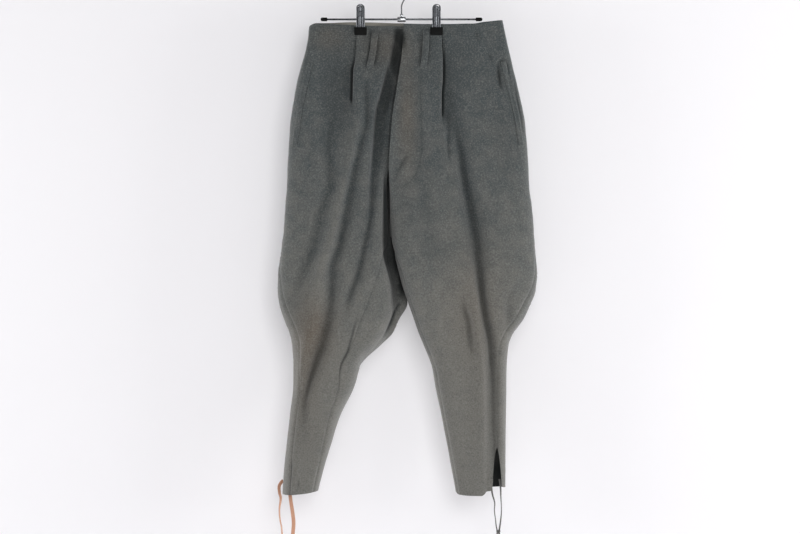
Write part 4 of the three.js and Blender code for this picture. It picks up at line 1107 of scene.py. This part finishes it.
def clothLine(side, face, line, lift=0.1, steps=160):
    # points on a panel along a line of (x, drop)
    line = np.array(line, float)
    t = np.linspace(0, len(line) - 1, steps)
    keys = np.arange(len(line))
    x, drop = curveThrough(keys, line[:, 0])(t), curveThrough(keys, line[:, 1])(t)
    inner = side["inner"](drop)
    share = np.clip((x - inner) / (side["outer"](drop) - inner), 0, 1)
    point, normal, _ = surface(side, share if face == 1 else 2 - share, drop)
    return point + normal * lift, normal


# Rows at the waist: drop, and how far from the fly's edge the row starts on the right front, which falls away
# there
waistRows = {"edge": (4.5, 4), "low": (30, 34)}
flyStitchLine = [(37, 6), (37, 60), (38, 170), (40, 240), (40, 272), (34, 294), (28, 314), (8, 336),
                 (-22, 344)]


def makeStitching():
    for name, side, face in (("front_left", leftSide, 1), ("front_right", rightSide, 1),
                             ("back_left", leftSide, -1), ("back_right", rightSide, -1)):
        last = side["outer"](0) - side["sign"] * 6
        for row, (down, fromFly) in waistRows.items():
            first = side["inner"](0) + side["sign"] * (fromFly if name == "front_right" else 4)
            line = clothLine(side, face, [(first, down), (last, down)], steps=300)
            stitchPiece(f"stitch_waist_{row}_{name}", *line)
    stitchPiece("stitch_fly", *clothLine(leftSide, 1, flyStitchLine))
    for place, pocket in pockets.items():
        sign = pocket["side"]["sign"]
        for row, offset in (("inner", -9), ("outer", 1.5)):
            line = [(x + sign * offset, drop) for drop, x in pocket["line"]]
            # the outer row is on the welt
            lift = 0.1 if row == "inner" else stripGap + 0.1 + weltLook["thick"] + 0.2
            stitchPiece(f"stitch_pocket_{row}_{place}", *clothLine(pocket["side"], 1, line, lift))


makeStitching()
print("stitching made")


# Hanger

def finishNode(node, material, bevel):
    # a merged, softened copy of a solid stands for it
    source = bpy.data.objects[node]
    piece = bpy.data.objects.new(node + "_finish", source.data.copy())
    bpy.context.collection.objects.link(piece)
    selectOnly(piece)
    bpy.ops.object.mode_set(mode="EDIT")
    bpy.ops.mesh.select_all(action="SELECT")
    bpy.ops.mesh.remove_doubles(threshold=0.00001)
    bpy.ops.mesh.tris_convert_to_quads(face_threshold=0.3, shape_threshold=0.7)
    bpy.ops.object.mode_set(mode="OBJECT")
    applyModifier(piece, "softEdges", "BEVEL", width=bevel * mm, segments=2, angle_limit=math.radians(40))
    bpy.ops.object.shade_smooth_by_angle(angle=math.radians(35))
    return keepPiece(piece, material, [node])


for node in [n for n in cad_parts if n.startswith(("hanger_", "clip_")) and "jaw" not in n]:
    if "cap" in node or "pad" in node:
        finishNode(node, rubber, 0.5)
    else:
        finishNode(node, nickel if "rod" in node or "sleeve" in node else chrome, 0.15)
print("hanger finished")


clipLook = {
    "width": 17.6, "plate": 1.1, "top": -60.8, "bottom": -109.2, "bendZ": -88.0, "lean": 14, "off": 6.2,
    "wire": 0.7, "coil": 3.6, "turns": 6, "turnPitch": 1.7, "rodZ": -92, "cuts": 24, "bends": 5,
    # how far the plate stands out at a share of its half width: a channel between two pressed ribs
    "section": [(0, 0.1), (0.2, 0.2), (0.4, 1.0), (0.55, 0.8), (0.75, 0.3), (0.9, -0.1), (1, -0.8)],
}
clips = {
    # eyes: across, up from the plate's foot, radius. wires: up from the foot, slope in degrees
    "right": {"x": -86, "eyes": [(-4.0, 42.0, 1.9), (2.0, 42.8, 2.1)], "wires": [(33, 38), (33, -38)]},
    "left": {"x": 73.5, "eyes": [(2.4, 43.8, 2.5)], "wires": [(36, 30), (31.5, 30)]},
}


def bakePlace(piece):
    selectOnly(piece)
    bpy.ops.object.transform_apply(location=True, rotation=True, scale=True)


def selectPoints(piece, test):
    # selects the points of a mesh in edit mode for which the test of their place, in mm, is true
    bpy.ops.mesh.select_all(action="DESELECT")
    bpy.ops.object.mode_set(mode="OBJECT")
    for vertex in piece.data.vertices:
        vertex.select = bool(test(vertex.co / mm))
    bpy.ops.object.mode_set(mode="EDIT")


def makeClipPlate(x):
    # one pressed plate of a clip, in front of the cloth: round top, channelled, bent outwards over the rod
    look = clipLook
    high, half = look["top"] - look["bottom"], look["width"] / 2
    bpy.ops.object.select_all(action="DESELECT")
    bpy.ops.mesh.primitive_cube_add(
        size=1, location=(x * mm, -look["off"] * mm, (look["bottom"] + high / 2) * mm),
        scale=(look["width"] * mm, look["plate"] * mm, high * mm))
    plate = bpy.context.object
    bakePlace(plate)
    bpy.ops.object.mode_set(mode="EDIT")
    bpy.ops.mesh.select_mode(type="EDGE")
    bpy.ops.mesh.select_all(action="DESELECT")
    bpy.ops.object.mode_set(mode="OBJECT")
    for edge in plate.data.edges:
        a, b = (plate.data.vertices[i].co for i in edge.vertices)
        edge.select = abs(a.y - b.y) > 0.5 * mm and a.z > (look["top"] - 1) * mm
    bpy.ops.object.mode_set(mode="EDIT")
    bpy.ops.mesh.bevel(offset=look["width"] * 0.47 * mm, segments=9, affect="EDGES")
    shares = [2 * k / look["cuts"] - 1 for k in range(look["cuts"] + 1)]
    levels = [look["bendZ"] - look["bends"] // 2 + level for level in range(look["bends"])]
    for share in shares[1:-1]:
        bpy.ops.mesh.select_all(action="SELECT")
        bpy.ops.mesh.bisect(plane_co=((x + half * share) * mm, 0, 0), plane_no=(1, 0, 0))
    for z in levels:
        bpy.ops.mesh.select_all(action="SELECT")
        bpy.ops.mesh.bisect(plane_co=(0, 0, z * mm), plane_no=(0, 0, 1))
    bpy.ops.mesh.select_mode(type="VERT")
    stand = curveThrough(*zip(*look["section"]))
    for share in shares:
        selectPoints(plate, lambda place: abs(place.x - (x + half * share)) <= half / look["cuts"])
        bpy.ops.transform.translate(value=(0, -float(stand(abs(share))) * mm, 0))
    for z in levels:
        selectPoints(plate, lambda place: place.z > z - 0.01)
        bpy.ops.transform.rotate(value=-math.radians(look["lean"] / look["bends"]), orient_axis="X",
                                 center_override=(x * mm, -look["off"] * mm, z * mm))
    bpy.ops.object.mode_set(mode="OBJECT")
    return plate


def addRod(place, radius, length, turn, sides=14):
    bpy.ops.object.select_all(action="DESELECT")
    bpy.ops.mesh.primitive_cylinder_add(vertices=sides, radius=radius * mm, depth=length * mm,
                                        location=[value * mm for value in place], rotation=turn)
    rod = bpy.context.object
    bakePlace(rod)
    return rod


def onLean(up, stand):
    # y and z of a place on the leaning upper part of a plate, a height over its foot
    lean = math.radians(clipLook["lean"])
    over = up - (clipLook["bendZ"] - clipLook["bottom"])
    return -(clipLook["off"] + over * math.sin(lean) + stand), clipLook["bendZ"] + over * math.cos(lean)


def makeClip(name, clip):
    look, x = clipLook, clip["x"]
    plate = makeClipPlate(x)
    for across, up, radius in clip["eyes"]:
        y, z = onLean(up, 0)
        cutter = addRod((x + across, y, z), radius, 12, (math.pi / 2 - math.radians(look["lean"]), 0, 0), 20)
        applyModifier(plate, "eye", "BOOLEAN", operation="DIFFERENCE", object=cutter)
        bpy.data.objects.remove(cutter)
    applyModifier(plate, "pressedEdge", "BEVEL", width=0.25 * mm, segments=2, angle_limit=math.radians(45))
    wires = []
    for up, slope in clip["wires"]:
        y, z = onLean(up, look["plate"] / 2 + 1.1 + look["wire"] * 0.6 + 0.8 * len(wires) * (clip["x"] < 0))
        wires.append(addRod((x, y, z), look["wire"], look["width"] * 0.92, (0, math.radians(90 + slope), 0)))
    selectOnly(plate)
    for part in wires:
        part.select_set(True)
    bpy.ops.object.join()
    plate.name = "clipPlate_front_" + name
    back = plate.copy()
    back.data = plate.data.copy()
    back.name = "clipPlate_back_" + name
    bpy.context.collection.objects.link(back)
    selectOnly(back)
    bpy.ops.object.mode_set(mode="EDIT")
    bpy.ops.mesh.select_all(action="SELECT")
    bpy.ops.transform.rotate(value=math.pi, orient_axis="Z", center_override=(x * mm, 0, 0))
    bpy.ops.object.mode_set(mode="OBJECT")
    for piece, face in ((plate, "front"), (back, "back")):
        selectOnly(piece)
        bpy.ops.object.shade_smooth_by_angle(angle=math.radians(35))
        keepPiece(piece, nickel, [f"clip_jaw_{face}_{name}"])


def makeSpring(x, name):
    # the spring's turns on the rod, either side of the plates' middle
    rings = []
    look = clipLook
    for k in range(look["turns"]):
        across = x + (k - (look["turns"] - 1) / 2) * look["turnPitch"]
        bpy.ops.object.select_all(action="DESELECT")
        bpy.ops.mesh.primitive_torus_add(
            location=(across * mm, 0, look["rodZ"] * mm), rotation=(0, math.pi / 2, 0.12),
            major_radius=look["coil"] * mm, minor_radius=look["wire"] * mm,
            major_segments=28, minor_segments=8)
        rings.append(bpy.context.object)
        bakePlace(rings[-1])
    selectOnly(rings[0])
    for ring in rings[1:]:
        ring.select_set(True)
    bpy.ops.object.join()
    rings[0].name = "clipSpring_" + name
    bpy.ops.object.shade_smooth_by_angle(angle=math.radians(60))
    keepPiece(rings[0], chrome)


for name, clip in clips.items():
    makeClip(name, clip)
    makeSpring(clip["x"], name)
print("clips made")


# Stage and light

stageLook = {"floorZ": -1330, "wallY": 110, "size": 12, "floor": "#a9a8aa", "floorGlow": 0.75,
             "wall": "#dddcde", "wallGlow": 0.19}


def makeStagePlane(name, roughness, location, turn):
    # a painted plane of the stage, which glows a little in the wall's colour
    material, tree, shader = newMaterial(
        "painted" + name.capitalize(), stageLook[name], Roughness=roughness,
        Emission_Color=linearColour(stageLook["wall"]), Emission_Strength=stageLook[name + "Glow"])
    bpy.ops.mesh.primitive_plane_add(size=stageLook["size"], location=location, rotation=turn)
    plane = bpy.context.object
    plane.name = name
    plane.data.materials.append(material)
    return plane, tree, shader


def makeStage():
    floorZ = stageLook["floorZ"] * mm
    makeStagePlane("floor", 0.8, (0, 0, floorZ), (0, 0, 0))
    wallPlace = (0, stageLook["wallY"] * mm, floorZ + stageLook["size"] / 2)
    wall, tree, shader = makeStagePlane("wall", 0.9, wallPlace, (math.pi / 2, 0, 0))
    wall.visible_shadow = False
    # seen through from behind
    side = addNode(tree, "ShaderNodeNewGeometry")
    clear = addNode(tree, "ShaderNodeBsdfTransparent")
    blend = addNode(tree, "ShaderNodeMixShader", {0: side.outputs["Backfacing"], 1: shader.outputs[0],
                                                  2: clear.outputs[0]})
    tree.links.new(blend.outputs[0], tree.nodes["Material Output"].inputs["Surface"])


worldLook = {"light": "#f2f1f3", "strength": 0.21, "seen": "#e4e3e5"}
lightsAim = (0, 0, -0.6)  # metres, as the places and sizes of the lights
lights = [
    {"name": "front", "at": (0.5, -3.4, 0.1), "size": 1.6, "power": 53},
    {"name": "right", "at": (2.8, -0.9, -0.5), "size": 0.9, "power": 35},
    {"name": "left", "at": (-2.8, -0.9, -0.4), "size": 0.9, "power": 26},
    {"name": "rear", "at": (-0.6, 3.4, 0.2), "size": 1.6, "power": 62},
    {"name": "rearRight", "at": (2.6, 1.3, -0.4), "size": 0.9, "power": 22},
    {"name": "rearLeft", "at": (-2.6, 1.3, -0.4), "size": 0.9, "power": 26},
]


def makeLights():
    aim = Vector(lightsAim)
    for light in lights:
        data = bpy.data.lights.new(light["name"], "AREA")
        data.size = light["size"]
        data.energy = light["power"]
        lamp = bpy.data.objects.new(light["name"], data)
        lamp.location = light["at"]
        lamp.rotation_euler = (aim - Vector(light["at"])).to_track_quat("-Z", "Y").to_euler()
        bpy.context.collection.objects.link(lamp)
    world = bpy.data.worlds.new("studio")
    world.use_nodes = True
    tree = world.node_tree
    dim = tree.nodes["Background"]
    dim.inputs["Color"].default_value = linearColour(worldLook["light"])
    dim.inputs["Strength"].default_value = worldLook["strength"]
    seen = addNode(tree, "ShaderNodeBackground", Strength=1.0)
    seen.inputs["Color"].default_value = linearColour(worldLook["seen"])
    ray = addNode(tree, "ShaderNodeLightPath")
    blend = addNode(tree, "ShaderNodeMixShader", {0: ray.outputs["Is Camera Ray"], 1: dim.outputs[0],
                                                  2: seen.outputs[0]})
    tree.links.new(blend.outputs[0], tree.nodes["World Output"].inputs["Surface"])
    bpy.context.scene.world = world
    bpy.context.scene.view_settings.view_transform = "Standard"


makeStage()
makeLights()
print("stage and lights made")
